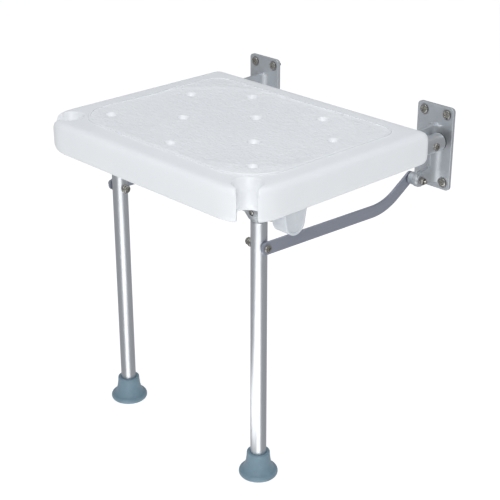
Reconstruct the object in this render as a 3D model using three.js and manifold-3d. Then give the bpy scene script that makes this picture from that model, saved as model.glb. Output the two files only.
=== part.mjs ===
// Fold-up wall-mounted shower seat with two drop-down legs.
// Millimetres, +Z up. The origin is on the wall plane (Y = 0) at floor level, midway between the two
// wall brackets. X runs along the wall and the room is on the -Y side.
import * as THREE from 'three';
import { mergeVertices } from 'three/addons/utils/BufferGeometryUtils.js';
import Module from 'manifold-3d';

const wasm = await Module();
wasm.setup();

// ---- Driving dimensions -------------------------------------------------------------------------
const SEAT_WIDTH = 425.6;
const SEAT_DEPTH = 344;
const SEAT_TOP_HEIGHT = 457.5;
const SEAT_THICKNESS = 47;
const SEAT_WALL = 3.5;
const SEAT_EDGE_ROUND = 10;
const SEAT_FRONT_CORNER = 57;
const SEAT_REAR_CORNER = 12;
const SEAT_BACK_GAP = 63;          // wall to the rear edge of the seat
const SEAT_REAR_LIP = 16;          // what is left of the rear skirt between the rails

const PANEL_SIDE_MARGIN = 30.5;    // seat edge to the raised, textured panel
const PANEL_FRONT_MARGIN = 35.7;
const PANEL_REAR_MARGIN = 28;
const PANEL_CORNER = 60;
const PANEL_REAR_CORNER = 32;
const PANEL_RISE = 2.2;
const DISH_DEPTH = 4.9;

const NOTCH_INSET = 33.5;          // seat sides to the centre of each corner notch
const NOTCH_RADIUS = 13.5;
const NOTCH_FLARE = 7;

const DRAIN_PITCH = 71;
const DRAIN_HOLE_RADIUS = 3;
const DRAIN_DIMPLE_RADIUS = 8.5;
const DRAIN_DIMPLE_DEPTH = 7;
const DRAIN_LIP = 1;               // upright end of a drain below its funnel
// Column (in pitches from the middle) and distance behind the front edge of each hole row.
const DRAIN_ROWS = [
  { columns: [0], setback: 64.5 },
  { columns: [-2, 2], setback: 77 },
  { columns: [-1, 1], setback: 147.5 },
  { columns: [0], setback: 220.5 },
  { columns: [-2, 2], setback: 224.5 },
  { columns: [-1, 1], setback: 279.5 },
];

const RAIL_RADIUS = 12.5;
const LEG_RADIUS = 11;
const TUBE_WALL = 1.5;
const RAIL_INSET = 23.5;           // seat side to rail axis
const RAIL_DROP = 30.5;            // seat top to rail axis, which is also the fold axis
const RAIL_TAIL = 20;              // rail behind the fold axis
const FOLD_STANDOFF = 38;          // wall to fold axis
const LEG_INSET = 69.3;            // seat side to leg axis
const LEG_SETBACK = 87.5;          // seat front edge to leg axis
const STRAP_DROP = 55.6;           // fold axis to strap pivot, the same on bracket and leg

const PLUG_LENGTH = 8;
const PLUG_RIM = 2.4;

const CROSS_TUBE_GAP = 0.3;        // rail underside to cross tube
const TEE_RADIUS = 14.5;
const TEE_LENGTH = 40;
const TEE_NECK = 6;                // leg top to the underside of the sleeve
const TEE_SPIGOT_LENGTH = 20;
const SADDLE_WALL = 9;
const SADDLE_LENGTH = 25;
const SADDLE_CAP = 3;
const SADDLE_SIDE_INSET = 3.8;
const SADDLE_NOSE_RADIUS = 16.4;
const SADDLE_NOSE_DROP = 4.8;      // tube axis to the middle of the rounded nose
const SADDLE_RECESS = 0.8;         // depth of the recessed outer face
const SADDLE_RIM_SHARE = 0.82;     // recess size as a share of the face
const SADDLE_EAR = 12;
const SADDLE_EAR_THICKNESS = 4;

const STRAP_WIDTH = 17;
const STRAP_THICKNESS = 3.6;
const STRAP_GAP = 1.4;             // leg surface to strap
const STRAP_KNEE_BACK = 52;        // strap pivot on the bracket to the knee, along the strap
const STRAP_KNEE_DROP = 32;
const STRAP_KNEE_RADIUS = 26;

const SEAT_SCREW_FRONT = 142;        // seat front edge to the front screw of each rail
const SEAT_SCREW_REAR = 60;         // seat rear edge to the rear one
const SEAT_BOSS_RADIUS = 6;
const TEE_SCREW_TILT = 25;          // degrees below horizontal, on the room side
const TEE_SCREW_LENGTH = 12;

const PLATE_WIDTH = 62.7;
const PLATE_HEIGHT = 121;
const PLATE_THICKNESS = 5;
const PLATE_CORNER = 6;
const PLATE_TOP_ABOVE_FOLD = 46.5;
const WEB_THICKNESS = 6;
const WEB_OFFSET = 2.6;            // web middle, outboard of the plate middle
const WEB_NOSE_RADIUS = 19;
const WEB_TOP_RISE = 2;            // top edge at the plate, above the nose
const WEB_HEEL_DROP = 6;           // lower edge at the plate, below the nose
const LUG_HEEL_RISE = 7;           // lug's top edge at the plate, above the boss
const WEB_FILLET = 12;
const RAIL_WEB_GAP = 0.4;
const BOSS_RADIUS = 9;
const BOSS_OUTBOARD = 2.5;         // boss end beyond the web
const WALL_SCREW_SIDE_INSET = 11.6;
const WALL_SCREW_END_INSET = 10.6;
const WALL_SCREW_RADIUS = 2.6;
const WALL_SCREW_LENGTH = 16;
const WALL_SCREW_HEAD_RADIUS = 6.4;
const WALL_SCREW_HEAD_HEIGHT = 2.2;

const PIVOT_BOLT_RADIUS = 3;
const PIVOT_HEAD_RADIUS = 5.6;
const PIVOT_HEAD_HEIGHT = 2.8;
const NUT_ACROSS_FLATS = 10;
const NUT_HEIGHT = 6;
const WASHER_RADIUS = 6.5;
const WASHER_THICKNESS = 0.8;
const SPACER_THICKNESS = 4;
const TAPPING_SCREW_RADIUS = 2;
const TAPPING_HEAD_RADIUS = 4;
const TAPPING_HEAD_HEIGHT = 2;
const SEAT_SCREW_GRIP = 6;         // screw end beyond the rail, in the seat's boss
const RAIL_SCREW_GRIP = 8;         // screw end beyond the saddle's ear, in the rail

const TIP_BASE_RADIUS = 27.2;
const TIP_COLLAR_RADIUS = 16;
const TIP_HEIGHT = 36;
const TIP_SOLE = 8;
const TIP_RIM = 3;                 // roundness of the base rim
const TIP_RIM_HEIGHT = 8.5;
const TIP_COLLAR_ROUND = 1;

const PAN_EDGE = 0.4;              // upright edge of a pan head, as a share of its height
const PAN_CROWN = 0.7;             // flat top of a pan head, as a share of its radius
const NUT_COLLAR = 0.46;           // lock nut's collar radius, as a share of the width across flats
const NUT_HEX_SHARE = 0.7;         // hexagon's share of the nut's height
const BOLT_TAIL = 3;               // bolt end beyond its nut

const FIT = 0.3;                   // gap between touching or turning pieces
const CUT = 1;                     // how far a cutting solid runs past the face it cuts
const SIDES = 24;                  // facets on a tube
const SCREW_SIDES = 12;            // facets on a fastener or a bore

// ---- Places that follow from them ---------------------------------------------------------------
const halfSeat = SEAT_WIDTH / 2;
const seatBack = -SEAT_BACK_GAP;
const seatFront = seatBack - SEAT_DEPTH;
const seatBottom = SEAT_TOP_HEIGHT - SEAT_THICKNESS;
const foldZ = SEAT_TOP_HEIGHT - RAIL_DROP;
const foldY = -FOLD_STANDOFF;
const railX = halfSeat - RAIL_INSET;
const railTail = foldY + RAIL_TAIL;
const webX = railX - RAIL_RADIUS - RAIL_WEB_GAP - WEB_THICKNESS / 2;
const plateX = webX - WEB_OFFSET;
const plateTop = foldZ + PLATE_TOP_ABOVE_FOLD;
const lugZ = foldZ - STRAP_DROP;
const legX = halfSeat - LEG_INSET;
const legY = seatFront + LEG_SETBACK;
const crossZ = foldZ - RAIL_RADIUS - CROSS_TUBE_GAP - LEG_RADIUS;
const legPinZ = crossZ - STRAP_DROP;
const strapX = legX + LEG_RADIUS + STRAP_GAP + STRAP_THICKNESS / 2;
const saddleOuterX = halfSeat - SADDLE_SIDE_INSET;
const saddleInnerX = saddleOuterX - SADDLE_LENGTH;
const saddleRadius = LEG_RADIUS + SADDLE_WALL;
const notchX = halfSeat - NOTCH_INSET;
const notchY = seatFront + NOTCH_INSET;
const railNose = notchY + NOTCH_RADIUS + SEAT_WALL + 2 * FIT;
const plateUnderside = SEAT_TOP_HEIGHT - DISH_DEPTH - SEAT_WALL;
const panelFront = seatFront + PANEL_FRONT_MARGIN;
const panelBack = seatBack - PANEL_REAR_MARGIN;
const panelHalfWidth = halfSeat - PANEL_SIDE_MARGIN;
const panelHalfDepth = (panelBack - panelFront) / 2;
const panelMiddleY = (panelFront + panelBack) / 2;
const seatScrewYs = [seatFront + SEAT_SCREW_FRONT, seatBack - SEAT_SCREW_REAR];
const saddleScrewYs = [
  legY - saddleRadius - SADDLE_EAR / 2,
  legY + saddleRadius + SADDLE_EAR / 2,
];
const saddleScrewX = Math.min(railX, saddleOuterX - SADDLE_LENGTH / 2);
const bossOuterX = webX + WEB_THICKNESS / 2 + BOSS_OUTBOARD;

// ---- Materials ----------------------------------------------------------------------------------
const finish = (color, roughness, metalness) =>
  new THREE.MeshStandardMaterial({ color, roughness, metalness });
const whitePlastic = finish(0xe6e9eb, 0.45, 0);
const clipPlastic = finish(0xdde3e4, 0.4, 0);
const anodised = finish(0xc3c6cc, 0.3, 1);
const castMetal = finish(0xaeb4b9, 0.45, 1);
const barMetal = finish(0x858893, 0.45, 1);
const darkCast = finish(0x77797c, 0.5, 1);
const nickel = finish(0xb9b7b0, 0.25, 1);
const darkPlastic = finish(0x3a3c3f, 0.6, 0);
const rubber = finish(0x7893a4, 0.7, 0);

// ---- Solids -------------------------------------------------------------------------------------
function solid(geometry) {
  const bare = geometry.index ? geometry.clone() : geometry;
  bare.deleteAttribute('normal');
  bare.deleteAttribute('uv');
  const merged = mergeVertices(bare, 1e-4);
  const mesh = new wasm.Mesh({
    numProp: 3,
    vertProperties: merged.attributes.position.array,
    triVerts: new Uint32Array(merged.index.array),
  });
  return new wasm.Manifold(mesh);
}

function geometryOf(body) {
  const { vertProperties, triVerts } = body.getMesh();
  const geometry = new THREE.BufferGeometry();
  geometry.setAttribute('position', new THREE.BufferAttribute(vertProperties, 3));
  geometry.setIndex(new THREE.BufferAttribute(triVerts, 1));
  const flat = geometry.toNonIndexed();
  flat.computeVertexNormals();
  return flat;
}

const group = new THREE.Group();
group.name = 'fold_up_shower_seat';

function add(name, body, material) {
  const mesh = new THREE.Mesh(geometryOf(body), material);
  mesh.name = name;
  group.add(mesh);
  return mesh;
}

const moved = (body, x, y, z) => body.translate([x, y, z]);
const box = (x, y, z) => solid(new THREE.BoxGeometry(x, y, z));

// A solid of revolution about Z from [radius, height] points; it closes on itself or on the axis.
function turned(profile, sides = SIDES) {
  const points = profile.map(([radius, height]) => new THREE.Vector2(radius, height));
  if (profile[0][0] > 0) points.push(points[0].clone());
  return solid(new THREE.LatheGeometry(points, sides)).rotate([90, 0, 0]);
}

// Rod from z = 0 up to its length.
const rod = (radius, length, sides = SIDES) =>
  turned([[0, 0], [radius, 0], [radius, length], [0, length]], sides);

const pipe = (outer, inner, length, sides = SIDES) =>
  turned([[inner, 0], [outer, 0], [outer, length], [inner, length]], sides);

const alongX = (body) => body.rotate([0, 90, 0]);
const alongY = (body) => body.rotate([-90, 0, 0]);

// A flat outline extruded upwards from z = 0.
const slab = (shape, depth, curveSegments = 8) =>
  solid(new THREE.ExtrudeGeometry(shape, { depth, bevelEnabled: false, curveSegments }));

// A slab drawn in (y, z) and extruded along +X from x = 0.
const sideSlab = (shape, depth, curveSegments = 8) =>
  slab(shape, depth, curveSegments).rotate([90, 0, 90]);

function roundedRectangle(left, right, front, back, frontRadius, backRadius) {
  const shape = new THREE.Shape();
  shape.moveTo(left + frontRadius, front);
  shape.lineTo(right - frontRadius, front);
  shape.absarc(right - frontRadius, front + frontRadius, frontRadius, -Math.PI / 2, 0, false);
  shape.lineTo(right, back - backRadius);
  shape.absarc(right - backRadius, back - backRadius, backRadius, 0, Math.PI / 2, false);
  shape.lineTo(left + backRadius, back);
  shape.absarc(left + backRadius, back - backRadius, backRadius, Math.PI / 2, Math.PI, false);
  shape.lineTo(left, front + frontRadius);
  shape.absarc(left + frontRadius, front + frontRadius, frontRadius, Math.PI, Math.PI * 1.5, false);
  return shape;
}

// ---- Fasteners ----------------------------------------------------------------------------------
// Pan-head screw along Z with the head on top; the head's underside is at z = 0.
function panScrew(shankRadius, length, headRadius, headHeight) {
  return turned([
    [0, -length],
    [shankRadius, -length],
    [shankRadius, 0],
    [headRadius, 0],
    [headRadius, headHeight * PAN_EDGE],
    [headRadius * PAN_CROWN, headHeight],
    [0, headHeight],
  ], SCREW_SIDES);
}

// Nylon-insert lock nut along Z from z = 0: a hexagon with a round collar.
function lockNut(boreRadius) {
  const corner = NUT_ACROSS_FLATS / 2 / Math.cos(Math.PI / 6);
  const hexagon = rod(corner, NUT_HEIGHT * NUT_HEX_SHARE, 6);
  const collar = rod(NUT_ACROSS_FLATS * NUT_COLLAR, NUT_HEIGHT, SCREW_SIDES);
  const bore = moved(rod(boreRadius, NUT_HEIGHT + 2 * CUT, SCREW_SIDES), 0, 0, -CUT);
  return hexagon.add(collar).subtract(bore);
}

const washer = (thickness, radius = WASHER_RADIUS) =>
  pipe(radius, PIVOT_BOLT_RADIUS + FIT, thickness, SCREW_SIDES);

// ---- Seat board: one moulding with a skirt, open underneath -------------------------------------
function seatBoard() {
  const outline = roundedRectangle(
    -halfSeat, halfSeat, seatFront, seatBack, SEAT_FRONT_CORNER, SEAT_REAR_CORNER);
  const shell = solid(new THREE.ExtrudeGeometry(outline, {
    depth: SEAT_THICKNESS - 2 * SEAT_EDGE_ROUND,
    bevelThickness: SEAT_EDGE_ROUND,
    bevelSize: SEAT_EDGE_ROUND,
    bevelOffset: -SEAT_EDGE_ROUND,
    bevelSegments: 3,
    curveSegments: 8,
  })).translate([0, 0, seatBottom + SEAT_EDGE_ROUND]);

  const panelOutline = roundedRectangle(
    -panelHalfWidth, panelHalfWidth, panelFront, panelBack, PANEL_CORNER, PANEL_REAR_CORNER);
  const panel = solid(new THREE.ExtrudeGeometry(panelOutline, {
    depth: 2 * PANEL_RISE,
    bevelThickness: PANEL_RISE,
    bevelSize: PANEL_RISE,
    bevelOffset: -PANEL_RISE,
    bevelSegments: 1,
    curveSegments: 8,
  })).translate([0, 0, SEAT_TOP_HEIGHT - 2 * PANEL_RISE]);

  // The sitting area is dished: the cut is a flattened ball whose rim meets the panel's edge.
  const dish = solid(new THREE.SphereGeometry(1, 28, 14))
    .rotate([90, 0, 0])
    .scale([panelHalfWidth, panelHalfDepth, DISH_DEPTH])
    .translate([0, panelMiddleY, SEAT_TOP_HEIGHT + PANEL_RISE]);

  let board = shell.add(panel).subtract(dish);
  board = board.subtract(boardHollow());
  for (const side of [-1, 1]) board = board.subtract(notchCut(side));
  for (const [x, y] of drainPlaces()) board = board.subtract(drainHole(x, y));
  return board;
}

// The space under the board: inside the skirt, around the notch walls and the rail ribs.
function boardHollow() {
  const inner = roundedRectangle(
    -halfSeat + SEAT_WALL, halfSeat - SEAT_WALL, seatFront + SEAT_WALL, seatBack - SEAT_WALL,
    SEAT_FRONT_CORNER - SEAT_WALL, SEAT_REAR_CORNER - SEAT_WALL);
  let hollow = slab(inner, plateUnderside - seatBottom + CUT, 8).translate([0, 0, seatBottom - CUT]);
  const rearHeight = SEAT_THICKNESS - SEAT_REAR_LIP;
  const rearCut = moved(
    box(2 * (railX + RAIL_RADIUS + 4 * FIT), 2 * SEAT_REAR_CORNER, rearHeight + CUT),
    0, seatBack, seatBottom + (rearHeight - CUT) / 2);
  hollow = hollow.add(rearCut);
  for (const side of [-1, 1]) {
    hollow = hollow.subtract(notchBody(side, NOTCH_RADIUS + SEAT_WALL, NOTCH_FLARE));
    hollow = hollow.subtract(railRib(side));
  }
  for (const [x, y] of drainPlaces()) hollow = hollow.subtract(drainBoss(x, y));
  return hollow;
}

// A rib that the rail lies against, with a round boss at each screw.
function railRib(side) {
  const railTop = foldZ + RAIL_RADIUS + FIT;
  const height = SEAT_TOP_HEIGHT - railTop;
  const length = seatScrewYs[1] - seatScrewYs[0];
  let rib = moved(
    box(SEAT_WALL, length, height), side * railX,
    (seatScrewYs[0] + seatScrewYs[1]) / 2, railTop + height / 2);
  for (const y of seatScrewYs) {
    rib = rib.add(moved(rod(SEAT_BOSS_RADIUS, height, SCREW_SIDES), side * railX, y, railTop));
  }
  for (const y of seatScrewYs) {
    const bore = rod(TAPPING_SCREW_RADIUS + FIT, height, SCREW_SIDES);
    rib = rib.subtract(moved(bore, side * railX, y, railTop - CUT));
  }
  return rib;
}

// Upright notch with a flared mouth at the top, opening diagonally out of the corner.
function notchBody(side, radius, flare) {
  const reach = SEAT_FRONT_CORNER;
  const shape = new THREE.Shape();
  shape.absarc(0, 0, radius, Math.PI / 2, Math.PI * 1.5, false);
  shape.lineTo(reach, -radius);
  shape.lineTo(reach, radius);
  const straight = slab(shape, SEAT_THICKNESS + 2 * CUT, 9).translate([0, 0, seatBottom - CUT]);
  const mouth = solid(new THREE.ExtrudeGeometry(shape, {
    depth: 3 * flare,
    bevelThickness: flare,
    bevelSize: flare,
    bevelSegments: 2,
    curveSegments: 9,
  })).translate([0, 0, SEAT_TOP_HEIGHT]);
  const angle = side > 0 ? -45 : -135;
  return straight.add(mouth).rotate([0, 0, angle]).translate([side * notchX, notchY, 0]);
}

const notchCut = (side) => notchBody(side, NOTCH_RADIUS, NOTCH_FLARE);

function drainPlaces() {
  return DRAIN_ROWS.flatMap(({ columns, setback }) =>
    columns.map((column) => [column * DRAIN_PITCH, seatFront + setback]));
}

// Height of the dished surface at a place on the panel.
function surfaceAt(x, y) {
  const across = x / panelHalfWidth;
  const along = (y - panelMiddleY) / panelHalfDepth;
  const dishHere = DISH_DEPTH * Math.sqrt(Math.max(0, 1 - across ** 2 - along ** 2));
  return SEAT_TOP_HEIGHT + PANEL_RISE - dishHere;
}

// Tapered boss under the board round each drain.
function drainBoss(x, y) {
  const bottom = surfaceAt(x, y) - DRAIN_DIMPLE_DEPTH - DRAIN_LIP;
  return turned([
    [0, bottom],
    [DRAIN_HOLE_RADIUS + SEAT_WALL / 2, bottom],
    [DRAIN_DIMPLE_RADIUS, plateUnderside],
    [DRAIN_DIMPLE_RADIUS, SEAT_TOP_HEIGHT],
    [0, SEAT_TOP_HEIGHT],
  ], SCREW_SIDES).translate([x, y, 0]);
}

// Drain hole at the bottom of a funnel, cut from the dished surface.
function drainHole(x, y) {
  const surface = surfaceAt(x, y);
  const bottom = surface - DRAIN_DIMPLE_DEPTH - DRAIN_LIP - CUT;
  const top = SEAT_TOP_HEIGHT + PANEL_RISE + CUT;
  return turned([
    [0, bottom],
    [DRAIN_HOLE_RADIUS, bottom],
    [DRAIN_HOLE_RADIUS, surface - DRAIN_DIMPLE_DEPTH],
    [DRAIN_DIMPLE_RADIUS, surface],
    [DRAIN_DIMPLE_RADIUS, top],
    [0, top],
  ], SCREW_SIDES).translate([x, y, 0]);
}

// ---- Side rails, each bored for its screws and its fold bolt --------------------------------------
function sideRail(side) {
  const length = railTail - railNose;
  let rail = alongY(pipe(RAIL_RADIUS, RAIL_RADIUS - TUBE_WALL, length))
    .translate([side * railX, railNose, foldZ]);
  const through = RAIL_RADIUS + CUT;
  const boltBore = alongX(rod(PIVOT_BOLT_RADIUS + FIT, 2 * through, SCREW_SIDES));
  rail = rail.subtract(moved(boltBore, side * railX - through, foldY, foldZ));
  for (const y of seatScrewYs) {
    const bore = rod(TAPPING_SCREW_RADIUS + FIT, 2 * through, SCREW_SIDES);
    rail = rail.subtract(moved(bore, side * railX, y, foldZ - through));
  }
  for (const y of saddleScrewYs) {
    const bore = rod(TAPPING_SCREW_RADIUS + FIT, through, SCREW_SIDES);
    rail = rail.subtract(moved(bore, side * saddleScrewX, y, foldZ - through));
  }
  return rail;
}

// Push-in plug that closes the rail's rear end.
function railPlug(side) {
  const plug = turned([
    [0, -PLUG_LENGTH],
    [RAIL_RADIUS - TUBE_WALL - FIT, -PLUG_LENGTH],
    [RAIL_RADIUS - TUBE_WALL - FIT, FIT],
    [RAIL_RADIUS, FIT],
    [RAIL_RADIUS - PLUG_RIM / 2, PLUG_RIM],
    [0, PLUG_RIM],
  ]);
  return alongY(plug).translate([side * railX, railTail, foldZ]);
}

// ---- Saddles: white U-shaped bearings that hang the cross tube under the rails -----------------------
function pivotSaddle(side) {
  const railUnderside = foldZ - RAIL_RADIUS - FIT;
  const skirtClear = seatBottom - FIT;
  const shape = new THREE.Shape();
  shape.moveTo(saddleRadius, skirtClear - crossZ);
  shape.lineTo(-saddleRadius, skirtClear - crossZ);
  shape.absarc(0, -SADDLE_NOSE_DROP, SADDLE_NOSE_RADIUS, Math.PI, 2 * Math.PI, false);
  let saddle = sideSlab(shape, SADDLE_LENGTH, 12).translate([saddleInnerX, legY, crossZ]);

  // Ears and the block inside the skirt rise to the rail.
  const earLength = 2 * (saddleRadius + SADDLE_EAR);
  const insideSkirt = halfSeat - SEAT_WALL - 2 * FIT - saddleInnerX;
  const blockWidth = Math.min(insideSkirt, SADDLE_LENGTH) - SADDLE_CAP;
  const earX = saddleInnerX + blockWidth / 2;
  const earZ = railUnderside - SADDLE_EAR_THICKNESS / 2;
  saddle = saddle.add(moved(box(blockWidth, earLength, SADDLE_EAR_THICKNESS), earX, legY, earZ));
  saddle = saddle.add(moved(
    box(blockWidth, 2 * saddleRadius, railUnderside - seatBottom + 2),
    earX, legY, (railUnderside + seatBottom - 2) / 2));

  // Open-topped channel for the tube, blind at the outer cap.
  const boreRadius = LEG_RADIUS + FIT;
  const boreLength = SADDLE_LENGTH - SADDLE_CAP;
  const bore = alongX(rod(boreRadius, boreLength + CUT)).translate([saddleInnerX - CUT, legY, crossZ]);
  const mouth = moved(box(boreLength + CUT, 2 * boreRadius, 2 * saddleRadius),
    saddleInnerX + (boreLength - CUT) / 2, legY, crossZ + saddleRadius);
  saddle = saddle.subtract(bore).subtract(mouth);
  // A shallow recess leaves a raised rim round the outer face.
  const recess = sideSlab(shape, SADDLE_CAP, 12).scale([1, SADDLE_RIM_SHARE, SADDLE_RIM_SHARE])
    .translate([saddleOuterX - SADDLE_RECESS, legY, crossZ]);
  saddle = saddle.subtract(recess);
  for (const y of saddleScrewYs) {
    const screwBore = rod(TAPPING_SCREW_RADIUS + FIT, 2 * saddleRadius, SCREW_SIDES);
    saddle = saddle.subtract(moved(screwBore, saddleScrewX, y, railUnderside - saddleRadius));
  }
  return side > 0 ? saddle : saddle.mirror([1, 0, 0]);
}

// ---- Leg frame: cross tube, tees, legs and tips ----------------------------------------------------
function crossTube() {
  const end = saddleOuterX - SADDLE_CAP - 2 * FIT;
  let tube = alongX(pipe(LEG_RADIUS, LEG_RADIUS - TUBE_WALL, 2 * end)).translate([-end, legY, crossZ]);
  for (const side of [-1, 1]) tube = tube.subtract(teeScrewBore(side));
  return tube;
}

function teeScrewPlaced(body, side) {
  return body.rotate([90 + TEE_SCREW_TILT, 0, 0]).translate([side * legX, legY, crossZ]);
}

function teeScrewBore(side) {
  return teeScrewPlaced(rod(TAPPING_SCREW_RADIUS + FIT, 3 * TEE_RADIUS, SCREW_SIDES), side);
}

function legTee(side) {
  const shoulder = crossZ - TEE_RADIUS - TEE_NECK;
  const sleeve = alongX(rod(TEE_RADIUS, TEE_LENGTH)).translate([-TEE_LENGTH / 2, 0, crossZ]);
  const flare = new THREE.QuadraticBezierCurve(
    new THREE.Vector2(LEG_RADIUS, shoulder),
    new THREE.Vector2(LEG_RADIUS, shoulder + TEE_NECK),
    new THREE.Vector2(TEE_RADIUS - FIT, shoulder + 1.5 * TEE_NECK));
  const neck = turned([
    [0, shoulder - TEE_SPIGOT_LENGTH],
    [LEG_RADIUS - TUBE_WALL - FIT, shoulder - TEE_SPIGOT_LENGTH],
    [LEG_RADIUS - TUBE_WALL - FIT, shoulder],
    ...flare.getPoints(3).map((point) => [point.x, point.y]),
    [TEE_RADIUS - FIT, crossZ],
    [0, crossZ],
  ]);
  const bore = alongX(rod(LEG_RADIUS + FIT, 2 * TEE_LENGTH)).translate([-TEE_LENGTH, 0, crossZ]);
  const spotFace = moved(rod(TAPPING_HEAD_RADIUS + FIT, TEE_RADIUS, SCREW_SIDES), 0, 0, TEE_RADIUS);
  return moved(sleeve.add(neck).subtract(bore), side * legX, legY, 0)
    .subtract(teeScrewBore(side))
    .subtract(teeScrewPlaced(spotFace, side));
}

function leg(side) {
  const top = crossZ - TEE_RADIUS - TEE_NECK - FIT;
  const bottom = TIP_SOLE + FIT;
  let tube = moved(pipe(LEG_RADIUS, LEG_RADIUS - TUBE_WALL, top - bottom), 0, 0, bottom);
  const through = LEG_RADIUS + CUT;
  const bore = alongX(rod(PIVOT_BOLT_RADIUS + FIT, 2 * through, SCREW_SIDES));
  tube = tube.subtract(moved(bore, -through, 0, legPinZ));
  return moved(tube, side * legX, legY, 0);
}

// Rubber tip: rounded base rim, a flare that closes in to the collar, and a blind bore for the tube.
function legTip(side) {
  const bore = LEG_RADIUS + FIT;
  const rimX = TIP_BASE_RADIUS - TIP_RIM;
  const rim = new THREE.EllipseCurve(
    rimX, TIP_RIM_HEIGHT / 2, TIP_RIM, TIP_RIM_HEIGHT / 2, -Math.PI / 2, Math.PI / 2);
  const flare = new THREE.QuadraticBezierCurve(
    new THREE.Vector2(rimX, TIP_RIM_HEIGHT),
    new THREE.Vector2(TIP_COLLAR_RADIUS + TIP_COLLAR_ROUND, TIP_RIM_HEIGHT + TIP_RIM),
    new THREE.Vector2(TIP_COLLAR_RADIUS, TIP_HEIGHT - TIP_COLLAR_ROUND));
  const tip = turned([
    [0, 0],
    ...rim.getPoints(4).map((point) => [point.x, point.y]),
    ...flare.getPoints(5).slice(1).map((point) => [point.x, point.y]),
    [TIP_COLLAR_RADIUS - TIP_COLLAR_ROUND, TIP_HEIGHT],
    [bore, TIP_HEIGHT],
    [bore, TIP_SOLE],
    [0, TIP_SOLE],
  ]);
  return moved(tip, side * legX, legY, 0);
}

// ---- Straps: cranked flat bars from each bracket lug to each leg ------------------------------------
// The middle line runs straight from the leg, round a knee, and up to the lug.
function strapLine() {
  const legEnd = new THREE.Vector2(legY, legPinZ);
  const lugEnd = new THREE.Vector2(foldY, lugZ);
  const knee = new THREE.Vector2(foldY - STRAP_KNEE_BACK, lugZ - STRAP_KNEE_DROP);
  const towardLeg = legEnd.clone().sub(knee).normalize();
  const towardLug = lugEnd.clone().sub(knee).normalize();
  const bend = new THREE.QuadraticBezierCurve(
    knee.clone().addScaledVector(towardLeg, STRAP_KNEE_RADIUS),
    knee,
    knee.clone().addScaledVector(towardLug, STRAP_KNEE_RADIUS));
  return [legEnd, ...bend.getPoints(8), lugEnd];
}

function strap(side) {
  const line = strapLine();
  const half = STRAP_WIDTH / 2;
  const normals = line.map((point, i) => {
    const before = line[Math.max(i - 1, 0)];
    const after = line[Math.min(i + 1, line.length - 1)];
    const along = after.clone().sub(before).normalize();
    return new THREE.Vector2(-along.y, along.x);
  });
  const last = line.length - 1;
  const shape = new THREE.Shape();
  const startAngle = Math.atan2(normals[0].y, normals[0].x);
  const endAngle = Math.atan2(normals[last].y, normals[last].x);
  shape.absarc(line[0].x, line[0].y, half, startAngle, startAngle + Math.PI, false);
  for (let i = 1; i < last; i += 1) {
    shape.lineTo(line[i].x - normals[i].x * half, line[i].y - normals[i].y * half);
  }
  shape.absarc(line[last].x, line[last].y, half, endAngle + Math.PI, endAngle + 2 * Math.PI, false);
  for (let i = last - 1; i > 0; i -= 1) {
    shape.lineTo(line[i].x + normals[i].x * half, line[i].y + normals[i].y * half);
  }
  const bar = sideSlab(shape, STRAP_THICKNESS, 10).translate([-STRAP_THICKNESS / 2, 0, 0]);
  const bore = alongX(rod(PIVOT_BOLT_RADIUS + FIT, 4 * STRAP_THICKNESS, SCREW_SIDES))
    .translate([-2 * STRAP_THICKNESS, 0, 0]);
  return bar
    .subtract(moved(bore, 0, legY, legPinZ))
    .subtract(moved(bore, 0, foldY, lugZ))
    .translate([side * strapX, 0, 0]);
}

// ---- Wall brackets: die-cast plate, web for the rail and lug for the strap ---------------------------
function wallBracket(side) {
  const plateBottom = plateTop - PLATE_HEIGHT;
  const outline = roundedRectangle(
    plateX - PLATE_WIDTH / 2, plateX + PLATE_WIDTH / 2, plateBottom, plateTop,
    PLATE_CORNER, PLATE_CORNER);
  let bracket = slab(outline, PLATE_THICKNESS, 4).rotate([90, 0, 0]);
  const webBack = -PLATE_THICKNESS + CUT;
  bracket = bracket.add(sideSlab(webShape(webBack), WEB_THICKNESS)
    .translate([webX - WEB_THICKNESS / 2, 0, 0]));
  bracket = bracket.add(sideSlab(lugShape(webBack), WEB_THICKNESS)
    .translate([webX - WEB_THICKNESS / 2, 0, 0]));
  bracket = bracket.add(webFillets());

  const bossInner = strapX + STRAP_THICKNESS / 2 + WASHER_THICKNESS + 2 * FIT;
  bracket = bracket.add(alongX(rod(BOSS_RADIUS, bossOuterX - bossInner))
    .translate([bossInner, foldY, lugZ]));

  const bore = alongX(rod(PIVOT_BOLT_RADIUS + FIT, 2 * PLATE_WIDTH, SCREW_SIDES));
  bracket = bracket.subtract(moved(bore, plateX - PLATE_WIDTH, foldY, foldZ));
  bracket = bracket.subtract(moved(bore, plateX - PLATE_WIDTH, foldY, lugZ));
  for (const [x, z] of wallScrewPlaces()) {
    bracket = bracket.subtract(alongY(rod(WALL_SCREW_RADIUS + FIT, 4 * PLATE_THICKNESS, SCREW_SIDES))
      .translate([x, -2 * PLATE_THICKNESS, z]));
    bracket = bracket.subtract(alongY(rod(WALL_SCREW_HEAD_RADIUS + FIT, WEB_FILLET, SIDES))
      .translate([x, -PLATE_THICKNESS - WEB_FILLET, z]));
  }
  return side > 0 ? bracket : bracket.mirror([1, 0, 0]);
}

function wallScrewPlaces() {
  const places = [];
  for (const z of [plateTop - WALL_SCREW_END_INSET, plateTop - PLATE_HEIGHT + WALL_SCREW_END_INSET]) {
    for (const across of [-1, 1]) {
      places.push([plateX + across * (PLATE_WIDTH / 2 - WALL_SCREW_SIDE_INSET), z]);
    }
  }
  return places;
}

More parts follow.
